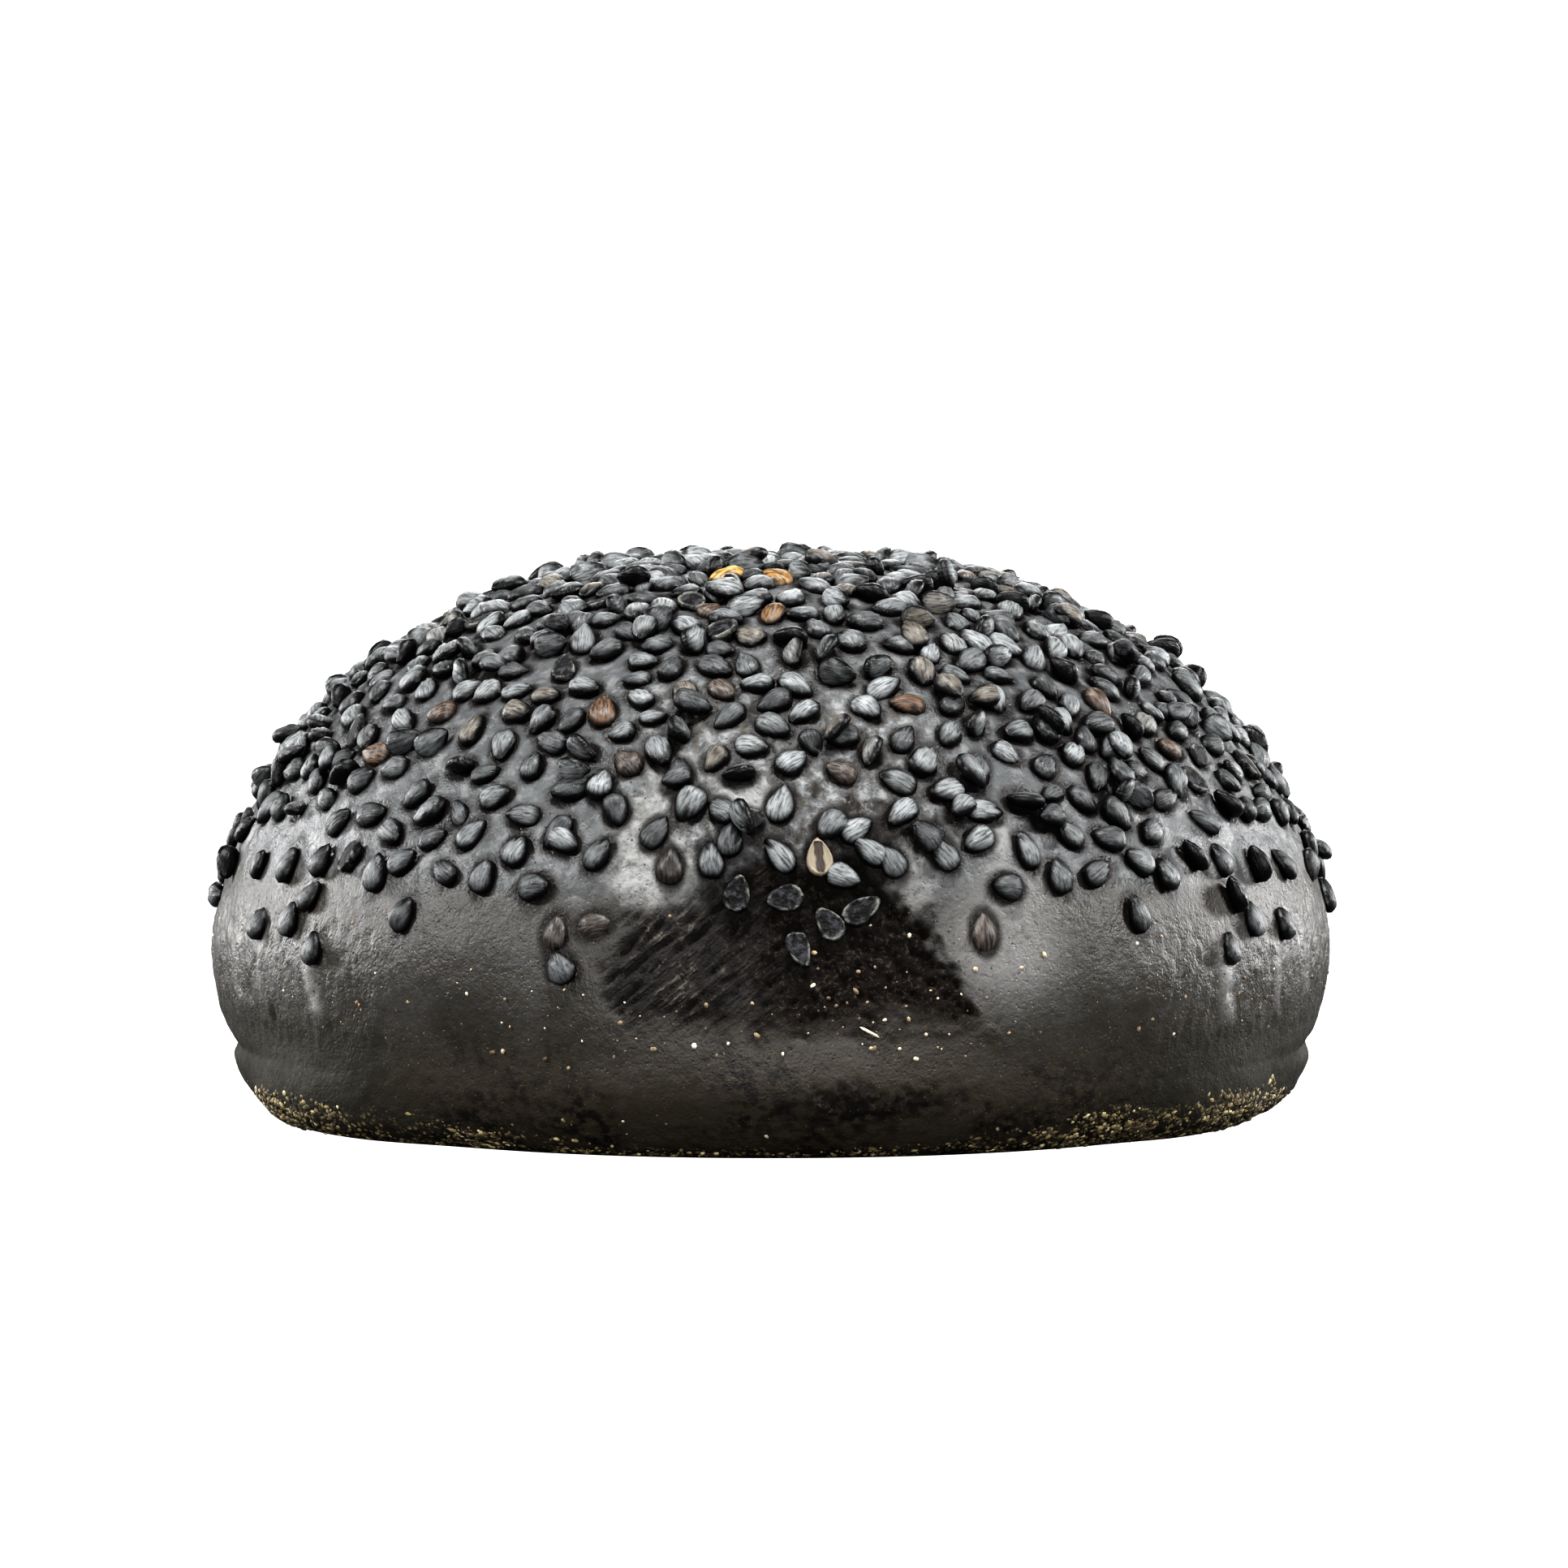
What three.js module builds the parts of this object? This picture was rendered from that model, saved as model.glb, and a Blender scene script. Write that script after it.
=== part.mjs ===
// A black burger bun: a low, broad dome of glossy dark dough on a flat baked base, its crown set with
// black sesame seeds. Millimetres, +Z up. The origin is on the surface the bun stands on, at the middle
// of its bounding box, and the front, with its sunken patch of wrinkled crust, faces -Y.
import * as THREE from "three";
import { ConvexHull } from "three/addons/math/ConvexHull.js";

// Driving dimensions of the dough.
const HALF_WIDTH = 52.5;
const HEIGHT = 51;
const WIDEST_HEIGHT = 15.2;
const CREASE_HEIGHT = 6.5;
const CREASE_RADIUS = 50.6;
const FOOT_RADIUS = 45.2;
const DOME_EXPONENTS = { radius: 2.7, height: 1.6 };

// Soft unevenness of the dough: depths and widths in mm, azimuths in degrees. A higher exponent gives
// the patches flatter middles and steeper edges.
const PATCH_EXPONENT = 3;
const OVALNESS = { flank: 0.7, foot: 2 };
const LOBES = [
  { count: 3, depth: 0.35 },
  { count: 5, depth: 0.25 },
];
const CREASE = { depth: 0.7, width: 0.9, narrowing: 24 };
const FRONT = -Math.PI / 2;
const SUNKEN_PATCH = { across: 3.5, height: 18.5, halfWidth: 17.5, halfHeight: 8.5, depth: 2.2 };
const BULGES = [
  { azimuth: -128, height: 21, halfWidth: 9, halfHeight: 8, depth: 0.7 },
  { azimuth: -52, height: 20, halfWidth: 9, halfHeight: 9, depth: 0.6 },
  { azimuth: 62, height: 24, halfWidth: 16, halfHeight: 10, depth: -0.9 },
  { azimuth: 118, height: 17, halfWidth: 14, halfHeight: 8, depth: 0.8 },
  { azimuth: -148, height: 1, halfWidth: 13, halfHeight: 5, depth: 2.4 },
  { azimuth: -33, height: 1, halfWidth: 9, halfHeight: 5, depth: 1.4 },
  { azimuth: 180, height: 45.3, halfWidth: 20, halfHeight: 2.6, depth: -2.2 },
  { azimuth: 0, height: 45.3, halfWidth: 20, halfHeight: 2.6, depth: -2.2 },
];

// Rings of skin points below the seeds, and the spacing of the loose ones among and above them.
const COLUMNS = 54;
const RING_HEIGHTS = [17.4, 15.2, 12.8, 10.6, 8.8, 7.5, 6.9, 6.5, 6, 4.8, 3, 1.3, 0.4, 0];
const SKIN_SPACING = 3.7;
const SKIN_TRIES = 9000;
const SKIN_CLEAR_OF_SEED = 2.4;

// The sesame seeds. The first and largest, spread widely, are solid here.
const SEED = { length: 3.05, width: 2.15, height: 0.95, spread: 0.12, slope: 0.22, narrowing: 0.3 };
const SEED_OUTLINE_SIDES = 6;
const SEED_CROWN_ANGLES = [48, 132, 228, 312];
const SEED_CROWN_SHARE = 0.7;
const SEED_SPACING = 3.85;
const SEED_TRIES = 24000;
const RANDOM_SEED = 20417;

// The seeded crown ends at this height, higher round the front, where the lowest seeds are picked out
// one by one, and it leaves one bald patch.
const SEEDED_FROM = { back: 23, front: 28.6 };
const FRONT_HALF_FROM = 0.15;
const SEEDED_WAVES = { count: 7, depth: 0.6 };
const BALD_PATCH = { across: -11.5, height: 27.5, halfWidth: 4.2, halfHeight: 5 };

// Seeds picked out one by one. Seen from the front, each is a distance right of the middle, a height, and
// the way its point turns, in degrees from the right. The flank's seeds are on both sides.
const MIDDLE_SEEDS = [
  [-10.2, 29, 60],
  [-9, 26.2, 90],
  [-5.4, 26.8, 95],
  [-3.7, 28.5, 85],
  [0.7, 27.2, 130],
  [4.3, 27, 95],
  [8.8, 27.5, 140],
  [6.5, 25.4, -20],
  [10.8, 26.6, 120],
  [7.5, 29.3, 30],
  [13.9, 28.9, 0],
  [-3.1, 23.9, 80],
  [1.2, 23.5, 190],
  [8.3, 22.4, 30],
  [5.3, 21.2, 125],
  [2.6, 19, -70],
  [-15.8, 21.1, 20],
  [-18.6, 17.4, 120],
];
const FLANK_SEEDS = [
  [15.3, 27.1, 55],
  [18.3, 28.2, -30],
  [22.5, 27.2, 75],
  [20.9, 24.2, 10],
  [19.2, 20.4, 85],
  [25.3, 24.9, 80],
  [28.6, 25.1, 150],
  [26.4, 28.4, 60],
  [29.8, 27.9, 20],
  [32.5, 25.8, 35],
  [35, 24.6, 95],
  [33.9, 28.1, -25],
  [32.2, 21.4, 70],
  [37.8, 25.8, 50],
  [39.2, 28.6, 40],
  [40.8, 25.2, 75],
  [41.8, 22.1, 60],
  [44.2, 24.4, 85],
  [43.8, 19.8, 80],
  [41.4, 17.6, 95],
  [47, 19, 85],
  [47.3, 24, 60],
];

// Seeds that stuck lower down at the sides and back, each as an azimuth in degrees and a height.
const STRAYS = [
  [-178, 19.9],
  [-2, 19.9],
  [4, 22],
  [31, 20.2],
  [52, 18.1],
  [97, 19.6],
  [133, 20.4],
  [163, 18.3],
  [176, 22],
];

const degrees = THREE.MathUtils.degToRad;

// Repeatable random numbers from 0 to 1.
function randomFrom(start) {
  let state = start >>> 0;
  return () => {
    state = (state + 0x6d2b79f5) >>> 0;
    let mixed = Math.imul(state ^ (state >>> 15), state | 1);
    mixed = (mixed + Math.imul(mixed ^ (mixed >>> 7), mixed | 61)) ^ mixed;
    return ((mixed ^ (mixed >>> 14)) >>> 0) / 4294967296;
  };
}

// The dome is a superellipse from the crown, at angle 90 degrees, to the widest ring at 0.
function domePoint(angle) {
  const rise = Math.sin(angle) ** (2 / DOME_EXPONENTS.height);
  return {
    radius: HALF_WIDTH * Math.cos(angle) ** (2 / DOME_EXPONENTS.radius),
    height: WIDEST_HEIGHT + (HEIGHT - WIDEST_HEIGHT) * rise,
  };
}

// The dome's angle at a height.
function domeAngle(height) {
  const rise = Math.max(0, (height - WIDEST_HEIGHT) / (HEIGHT - WIDEST_HEIGHT));
  return Math.asin(rise ** (DOME_EXPONENTS.height / 2));
}

// The round profile's radius at a height: the dome, the flank that draws in to the crease, and the
// quarter ellipse that rolls under to the flat foot.
function radiusAt(height) {
  if (height >= WIDEST_HEIGHT) return domePoint(domeAngle(height)).radius;
  if (height >= CREASE_HEIGHT) {
    const share = (WIDEST_HEIGHT - height) / (WIDEST_HEIGHT - CREASE_HEIGHT);
    const drawnIn = 1 - Math.cos((share * Math.PI) / 2);
    return HALF_WIDTH - (HALF_WIDTH - CREASE_RADIUS) * drawnIn;
  }
  const under = 1 - height / CREASE_HEIGHT;
  return FOOT_RADIUS + (CREASE_RADIUS - FOOT_RADIUS) * Math.sqrt(1 - under * under);
}

// 1 in the middle of an oval patch, falling smoothly to 0 well outside it.
const patch = (across, up) => Math.exp(-(Math.hypot(across, up) ** PATCH_EXPONENT));

// The shorter way round from one azimuth to another, as an arc length on the widest ring.
function arcBetween(azimuth, other) {
  const turn = Math.atan2(Math.sin(azimuth - other), Math.cos(azimuth - other));
  return turn * HALF_WIDTH;
}

// How far the skin stands out from the round profile at an azimuth and height.
function relief(azimuth, height) {
  const base = Math.max(0, 1 - height / CREASE_HEIGHT);
  let out = -(OVALNESS.flank + OVALNESS.foot * base) * Math.sin(azimuth) ** 2;
  for (const lobe of LOBES) out += lobe.depth * Math.sin(lobe.count * azimuth);
  const atSides = Math.cos(azimuth) ** CREASE.narrowing;
  out -= CREASE.depth * atSides * Math.exp(-(((height - CREASE_HEIGHT) / CREASE.width) ** 2));
  const across = arcBetween(azimuth, FRONT) - SUNKEN_PATCH.across;
  const up = height - SUNKEN_PATCH.height;
  out -= SUNKEN_PATCH.depth * patch(across / SUNKEN_PATCH.halfWidth, up / SUNKEN_PATCH.halfHeight);
  for (const bulge of BULGES)
    out +=
      bulge.depth *
      patch(
        arcBetween(azimuth, degrees(bulge.azimuth)) / bulge.halfWidth,
        (height - bulge.height) / bulge.halfHeight,
      );
  return out;
}

// A point of the skin. The relief fades to nothing over the crown.
function skinPoint(azimuth, radius, height) {
  const share = Math.min(1, radius / FOOT_RADIUS);
  const grown = radius + relief(azimuth, height) * share * share;
  return new THREE.Vector3(grown * Math.cos(azimuth), grown * Math.sin(azimuth), height);
}

// A point of the dome with the directions round the bun, up the dome and out of its skin.
function domeFrame(azimuth, angle) {
  const step = 0.004;
  const nearEnd = 1e-6;
  const at = (turn, lift) => {
    const point = domePoint(THREE.MathUtils.clamp(angle + lift, nearEnd, Math.PI / 2 - nearEnd));
    return skinPoint(azimuth + turn, point.radius, point.height);
  };
  const round = at(step, 0).sub(at(-step, 0)).normalize();
  const climb = at(0, step).sub(at(0, -step)).normalize();
  const normal = new THREE.Vector3().crossVectors(round, climb).normalize();
  const up = new THREE.Vector3().crossVectors(normal, round);
  return { origin: at(0, 0), round, up, normal };
}

// Whether a scattered seed may lie at an azimuth and height: on the crown, and off the bald patch.
function isSeeded(azimuth, height) {
  const across = arcBetween(azimuth, FRONT);
  const from = Math.sin(azimuth) < -FRONT_HALF_FROM ? SEEDED_FROM.front : SEEDED_FROM.back;
  const edge = from + SEEDED_WAVES.depth * Math.sin(SEEDED_WAVES.count * azimuth);
  const bald = Math.hypot(
    (across - BALD_PATCH.across) / BALD_PATCH.halfWidth,
    (height - BALD_PATCH.height) / BALD_PATCH.halfHeight,
  );
  return height > edge && bald > 1;
}

const isClear = (point, others, distance) =>
  others.every((other) => other.distanceTo(point) >= distance);

// The seeds picked out one by one come first. Then darts are thrown at the crown. A seed is kept if it
// lands clear of the seeds before it.
function placeSeeds(random) {
  const seeds = [];
  const places = [];
  const vary = (reach) => reach * (2 * random() - 1);
  const add = (azimuth, angle, turn) => {
    const frame = domeFrame(azimuth, angle);
    if (!isClear(frame.origin, places, SEED_SPACING)) return;
    places.push(frame.origin);
    seeds.push({
      frame,
      turn,
      length: SEED.length * (1 + vary(SEED.spread)),
      width: SEED.width * (1 + vary(SEED.spread)),
      height: SEED.height * (1 + vary(SEED.spread)),
      slope: [vary(SEED.slope), vary(SEED.slope)],
    });
  };
  const addAtFront = (across, height, turn) =>
    add(-Math.acos(across / radiusAt(height)), domeAngle(height), degrees(turn));
  for (const [across, height, turn] of MIDDLE_SEEDS) addAtFront(across, height, turn);
  for (const [across, height, turn] of FLANK_SEEDS) {
    addAtFront(-across, height, turn);
    addAtFront(across, height, 180 - turn);
  }
  for (const [azimuth, height] of STRAYS)
    add(degrees(azimuth), domeAngle(height), 2 * Math.PI * random());
  for (let dart = 0; dart < SEED_TRIES; dart++) {
    const azimuth = 2 * Math.PI * random();
    const angle = Math.asin(random());
    const turn = 2 * Math.PI * random();
    if (isSeeded(azimuth, domePoint(angle).height)) add(azimuth, angle, turn);
  }
  return seeds;
}

// A point on the drop-shaped outline of a seed, pointed at angle 0, moved in towards its middle to a
// share of the way out and raised off the skin.
function seedPoint(seed, angle, share, height) {
  const along = share * Math.cos(angle);
  const aside = share * Math.sin(angle) * (1 - SEED.narrowing * Math.cos(angle));
  const tilted = height * (1 + seed.slope[0] * along + seed.slope[1] * aside);
  const [x, y] = [(along * seed.length) / 2, (aside * seed.width) / 2];
  const [cos, sin] = [Math.cos(seed.turn), Math.sin(seed.turn)];
  return seed.frame.origin
    .clone()
    .addScaledVector(seed.frame.round, x * cos - y * sin)
    .addScaledVector(seed.frame.up, x * sin + y * cos)
    .addScaledVector(seed.frame.normal, tilted);
}

// The surface is one net of points. Each point has a place, and a layout position on the bare skin that
// decides which points it joins: a seed's raised crown is laid out well inside its outline.
const pointOnSkin = (place) => ({ place, layout: place });

function seedPoints(seed) {
  const points = [];
  for (let side = 0; side < SEED_OUTLINE_SIDES; side++) {
    const angle = (2 * Math.PI * side) / SEED_OUTLINE_SIDES;
    points.push(pointOnSkin(seedPoint(seed, angle, 1, 0)));
  }
  for (const angle of SEED_CROWN_ANGLES.map(degrees))
    points.push({
      place: seedPoint(seed, angle, SEED_CROWN_SHARE, seed.height),
      layout: seedPoint(seed, angle, SEED_CROWN_SHARE / 2, 0),
    });
  return points;
}

// Rings on the flank and base, the middle of the foot, and loose points between the seeds.
function bareSkinPoints(seeds, random) {
  const middles = seeds.map((seed) => seed.frame.origin);
  const points = [new THREE.Vector3(0, 0, 0)];
  for (const height of RING_HEIGHTS)
    for (let column = 0; column < COLUMNS; column++) {
      const point = skinPoint((2 * Math.PI * column) / COLUMNS, radiusAt(height), height);
      if (isClear(point, middles, SKIN_CLEAR_OF_SEED)) points.push(point);
    }
  for (let dart = 0; dart < SKIN_TRIES; dart++) {
    const { origin } = domeFrame(2 * Math.PI * random(), Math.asin(random()));
    if (isClear(origin, middles, SKIN_SPACING) && isClear(origin, points, SKIN_SPACING))
      points.push(origin);
  }
  return points.map(pointOnSkin);
}

// Seen from inside the bun, the layout's directions lie on a sphere, and their hull is a net of
// well-shaped triangles between neighbours. The net is then drawn through the points' true places.
function netGeometry(points) {
  const inside = new THREE.Vector3(0, 0, WIDEST_HEIGHT);
  const directions = points.map(({ layout }) => layout.clone().sub(inside).normalize());
  const indexOf = new Map(directions.map((direction, index) => [direction, index]));
  const corners = [];
  for (const face of new ConvexHull().setFromPoints(directions).faces) {
    let edge = face.edge;
    do {
      corners.push(indexOf.get(edge.head().point));
      edge = edge.next;
    } while (edge !== face.edge);
  }
  const geometry = new THREE.BufferGeometry().setFromPoints(points.map(({ place }) => place));
  return geometry.setIndex(corners);
}

// Puts the middle of the bounding box over the origin, and its lowest point at height 0.
function centreOnBase(geometry) {
  geometry.computeBoundingBox();
  const middle = geometry.boundingBox.getCenter(new THREE.Vector3());
  return geometry.translate(-middle.x, -middle.y, -geometry.boundingBox.min.z);
}

function bunGeometry() {
  const random = randomFrom(RANDOM_SEED);
  const seeds = placeSeeds(random);
  const points = [...bareSkinPoints(seeds, random), ...seeds.flatMap(seedPoints)];
  return centreOnBase(netGeometry(points));
}

const crust = new THREE.MeshStandardMaterial({ color: 0x2b2825, roughness: 0.45, metalness: 0 });
const bun = new THREE.Mesh(bunGeometry(), crust);
bun.name = "bread_roll";

const group = new THREE.Group();
group.add(bun);
export default group;
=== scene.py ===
# A black burger bun crusted with sesame seeds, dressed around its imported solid. Shapes are worked out
# in millimetres and become metres when a mesh is made. The front faces -Y.
import bpy
import math
import numpy as np
from itertools import product
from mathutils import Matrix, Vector, kdtree


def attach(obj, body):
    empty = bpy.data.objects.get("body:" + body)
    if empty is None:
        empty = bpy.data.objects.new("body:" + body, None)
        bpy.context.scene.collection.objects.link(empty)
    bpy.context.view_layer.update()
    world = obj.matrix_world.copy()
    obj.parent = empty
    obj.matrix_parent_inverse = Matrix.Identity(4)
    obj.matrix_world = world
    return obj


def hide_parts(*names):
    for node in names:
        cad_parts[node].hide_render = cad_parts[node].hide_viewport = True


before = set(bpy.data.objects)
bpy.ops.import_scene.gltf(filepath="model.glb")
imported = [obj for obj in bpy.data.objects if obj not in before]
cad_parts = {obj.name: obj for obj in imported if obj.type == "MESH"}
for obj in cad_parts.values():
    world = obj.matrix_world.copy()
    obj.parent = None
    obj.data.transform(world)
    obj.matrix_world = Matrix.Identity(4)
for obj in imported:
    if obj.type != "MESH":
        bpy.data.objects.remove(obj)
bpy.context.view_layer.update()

MM = 0.001
BODY = "root"
NODE = "bread_roll"

# The dough's round profile, as in the solid.
HALF_WIDTH = 52.5
HEIGHT = 51.0
WIDEST_HEIGHT = 15.2
CREASE_HEIGHT = 6.5
CREASE_RADIUS = 50.6
FOOT_RADIUS = 45.2
RADIUS_EXPONENT = 2.7
HEIGHT_EXPONENT = 1.6

# The dough's soft unevenness, as in the solid: depths and widths in mm, azimuths in degrees.
PATCH_EXPONENT = 3
OVALNESS_FLANK = 0.7
OVALNESS_FOOT = 2.0
LOBES = [(3, 0.35), (5, 0.25)]
CREASE_DEPTH = 0.7
CREASE_WIDTH = 0.9
CREASE_NARROWING = 24
FRONT = -math.pi / 2
SUNKEN = dict(across=3.5, height=18.5, half_width=17.5, half_height=8.5, depth=2.2)

# Bulges and dips, each as an azimuth, a height, a half width, a half height and how far it stands out.
BULGES = [
    (-128, 21, 9, 8, 0.7), (-52, 20, 9, 9, 0.6), (62, 24, 16, 10, -0.9), (118, 17, 14, 8, 0.8),
    (-148, 1, 13, 5, 2.4), (-33, 1, 9, 5, 1.4), (180, 45.3, 20, 2.6, -2.2), (0, 45.3, 20, 2.6, -2.2),
]

# The seeded crown and its bald patch, as in the solid.
SEEDED_FROM_BACK = 23.0
SEEDED_FROM_FRONT = 28.6
FRONT_HALF_FROM = 0.15
SEEDED_WAVES = dict(count=7, depth=0.6)
BALD = dict(across=-11.5, height=27.5, half_width=4.2, half_height=5.0)

# Seeds picked out one by one, as in the solid. Seen from the front, each is a distance right of the
# middle, a height, the way its point turns in degrees from the right, and its kind where that is plain.
# The flank's seeds are on both sides.
MIDDLE_SEEDS = [
    (-10.2, 29, 60, "ribbed"), (-9, 26.2, 90, "brown"), (-5.4, 26.8, 95, "creased"),
    (-3.7, 28.5, 85, "ribbed"), (0.7, 27.2, 130, "creased"), (4.3, 27, 95, "tan"),
    (8.8, 27.5, 140, "plump"), (6.5, 25.4, -20, "plump"), (10.8, 26.6, 120, "plump"),
    (7.5, 29.3, 30, "plump"), (13.9, 28.9, 0, "rimmed"), (-3.1, 23.9, 80, "rimmed"),
    (1.2, 23.5, 190, "rimmed"), (8.3, 22.4, 30, "rimmed"), (5.3, 21.2, 125, "rimmed"),
    (2.6, 19, -70, "rimmed"), (-15.8, 21.1, 20, "brown"), (-18.6, 17.4, 120, "creased"),
]
FLANK_SEEDS = [
    (15.3, 27.1, 55), (18.3, 28.2, -30, "plump"), (22.5, 27.2, 75, "creased"), (20.9, 24.2, 10, "plump"),
    (19.2, 20.4, 85, "brown"), (25.3, 24.9, 80, "plump"), (28.6, 25.1, 150), (26.4, 28.4, 60, "plump"),
    (29.8, 27.9, 20), (32.5, 25.8, 35, "plump"), (35, 24.6, 95), (33.9, 28.1, -25),
    (32.2, 21.4, 70, "creased"), (37.8, 25.8, 50), (39.2, 28.6, 40), (40.8, 25.2, 75, "creased"),
    (41.8, 22.1, 60), (44.2, 24.4, 85), (43.8, 19.8, 80, "ribbed"), (41.4, 17.6, 95, "ribbed"),
    (47, 19, 85, "ribbed"), (47.3, 24, 60),
]
STRAYS = [
    (-178, 19.9), (-2, 19.9), (4, 22), (31, 20.2), (52, 18.1), (97, 19.6), (133, 20.4), (163, 18.3),
    (176, 22),
]
SEED_SIZE = (3.05, 2.15, 0.95)
SEED_SPREAD = 0.12
SEED_SLOPE = 0.22
SEED_NARROWING = 0.3
SOLID_SEED_SPACING = 3.85
SOLID_SEED_TRIES = 24000
SOLID_SEED_DRAW = 20417


# The shape of the dough.

def dome_point(angle):
    """Radius and height of the dome at an angle of its superellipse, 90 degrees at the crown."""
    radius = HALF_WIDTH * np.cos(angle) ** (2 / RADIUS_EXPONENT)
    rise = np.sin(angle) ** (2 / HEIGHT_EXPONENT)
    return radius, WIDEST_HEIGHT + (HEIGHT - WIDEST_HEIGHT) * rise


def dome_angle(height):
    rise = np.maximum(0, (height - WIDEST_HEIGHT) / (HEIGHT - WIDEST_HEIGHT))
    return np.arcsin(rise ** (HEIGHT_EXPONENT / 2))


def radius_at(height):
    """The profile's radius: the dome, the flank drawn in to the crease, and the roll under to the foot."""
    dome = dome_point(dome_angle(height))[0]
    share = np.clip((WIDEST_HEIGHT - height) / (WIDEST_HEIGHT - CREASE_HEIGHT), 0, 1)
    flank = HALF_WIDTH - (HALF_WIDTH - CREASE_RADIUS) * (1 - np.cos(share * math.pi / 2))
    under = np.clip(1 - height / CREASE_HEIGHT, 0, 1)
    roll = FOOT_RADIUS + (CREASE_RADIUS - FOOT_RADIUS) * np.sqrt(1 - under * under)
    return np.where(height >= WIDEST_HEIGHT, dome, np.where(height >= CREASE_HEIGHT, flank, roll))


def patch(across, up):
    return np.exp(-(np.hypot(across, up) ** PATCH_EXPONENT))


def arc_between(azimuth, other):
    turn = np.arctan2(np.sin(azimuth - other), np.cos(azimuth - other))
    return turn * HALF_WIDTH


def relief(azimuth, height):
    """How far the skin stands out from the round profile."""
    base = np.maximum(0, 1 - height / CREASE_HEIGHT)
    out = -(OVALNESS_FLANK + OVALNESS_FOOT * base) * np.sin(azimuth) ** 2
    for count, depth in LOBES:
        out = out + depth * np.sin(count * azimuth)
    at_sides = np.cos(azimuth) ** CREASE_NARROWING
    out = out - CREASE_DEPTH * at_sides * np.exp(-(((height - CREASE_HEIGHT) / CREASE_WIDTH) ** 2))
    across = (arc_between(azimuth, FRONT) - SUNKEN["across"]) / SUNKEN["half_width"]
    out = out - SUNKEN["depth"] * patch(across, (height - SUNKEN["height"]) / SUNKEN["half_height"])
    for side, middle, half_width, half_height, depth in BULGES:
        across = arc_between(azimuth, math.radians(side)) / half_width
        out = out + depth * patch(across, (height - middle) / half_height)
    return out


def skin_point(azimuth, radius, height):
    share = np.minimum(1, radius / FOOT_RADIUS)
    grown = radius + relief(azimuth, height) * share * share
    return np.stack([grown * np.cos(azimuth), grown * np.sin(azimuth), height + 0 * grown], -1)


def unit(vectors):
    return vectors / np.linalg.norm(vectors, axis=-1, keepdims=True)


def frame_at(middle, after, before, above, below):
    """A point of the skin, and the directions round the bun, up it and out of its skin."""
    round_ = unit(after - before)
    normal = unit(np.cross(round_, unit(above - below)))
    return dict(origin=middle, round=round_, up=np.cross(normal, round_), normal=normal)


def dome_frame(azimuth, angle):
    step = 0.004
    near_end = 1e-6
    turns = azimuth + np.array([0, step, -step, 0, 0])
    lifts = angle + np.array([0, 0, 0, step, -step])
    radius, height = dome_point(np.clip(lifts, near_end, math.pi / 2 - near_end))
    return frame_at(*skin_point(turns, radius, height))


def flank_frame(azimuth, height):
    turn = 0.004
    lift = 0.3
    turns = azimuth + np.array([0, turn, -turn, 0, 0])
    heights = height + np.array([0, 0, 0, lift, -min(lift, height)])
    return frame_at(*skin_point(turns, radius_at(heights), heights))


# Repeatable noise and random numbers.

def random_from(start):
    """The same repeatable numbers from 0 to 1 that place the solid's seeds."""
    mask = 0xFFFFFFFF
    state = start & mask

    def draw():
        nonlocal state
        state = (state + 0x6D2B79F5) & mask
        mixed = ((state ^ (state >> 15)) * (state | 1)) & mask
        mixed = ((mixed + (((mixed ^ (mixed >> 7)) * (mixed | 61)) & mask)) & mask) ^ mixed
        return ((mixed ^ (mixed >> 14)) & mask) / 4294967296

    return draw


def spread_from(random):
    """Random numbers from minus to plus a reach."""
    return lambda reach: reach * (2 * random() - 1)


def hashed(cells, salt):
    """A number from -1 to 1 for each row of whole numbers."""
    mixed = (cells * np.array([73856093, 19349663, 83492791])).sum(-1) + salt * 2654435761
    mixed = (mixed ^ (mixed >> 13)) * 1274126177 & 0x7FFFFFFF
    mixed = (mixed ^ (mixed >> 15)) * 668265263 & 0x7FFFFFFF
    return (mixed ^ (mixed >> 11)) % 65536 / 32768 - 1


def noise(points, salt=0):
    """Smooth gradient noise, about -1 to 1, with one bump to a unit of length."""
    cells = np.floor(points).astype(np.int64)
    inside = points - cells
    ease = inside ** 3 * (inside * (inside * 6 - 15) + 10)
    total = np.zeros(len(points))
    for corner in product((0, 1), repeat=3):
        at = cells + corner
        slopes = np.stack([hashed(at, 3 * salt + axis) for axis in range(3)], -1)
        weight = np.where(corner, ease, 1 - ease).prod(-1)
        total += weight * (slopes * (inside - corner)).sum(-1)
    return 1.7 * total


def layered(points, salt=0, layers=3):
    """Noise with finer and fainter noise over it."""
    return sum(noise(points * 2 ** k, salt + 7 * k) * 0.5 ** k for k in range(layers))


def ridged(points, salt=0):
    """Noise with sharp crests, from -1 to 1."""
    return 1 - 2 * np.abs(noise(points, salt))


def smoothstep(low, high, value):
    share = np.clip((value - low) / (high - low), 0, 1)
    return share * share * (3 - 2 * share)


# Where the sesame seeds lie.

def is_seeded(azimuth, height):
    across = arc_between(azimuth, FRONT)
    at_front = math.sin(azimuth) < -FRONT_HALF_FROM
    edge = SEEDED_FROM_FRONT if at_front else SEEDED_FROM_BACK
    waves = SEEDED_WAVES["depth"] * math.sin(SEEDED_WAVES["count"] * azimuth)
    bald = math.hypot((across - BALD["across"]) / BALD["half_width"],
                      (height - BALD["height"]) / BALD["half_height"])
    return height > edge + waves and bald > 1


def new_seed(at, turn, size, tilt=(0.0, 0.0), lift=0.0, kind=None):
    return dict(frame=at, turn=turn, size=size, tilt=tilt, lift=lift, kind=kind)


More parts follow.
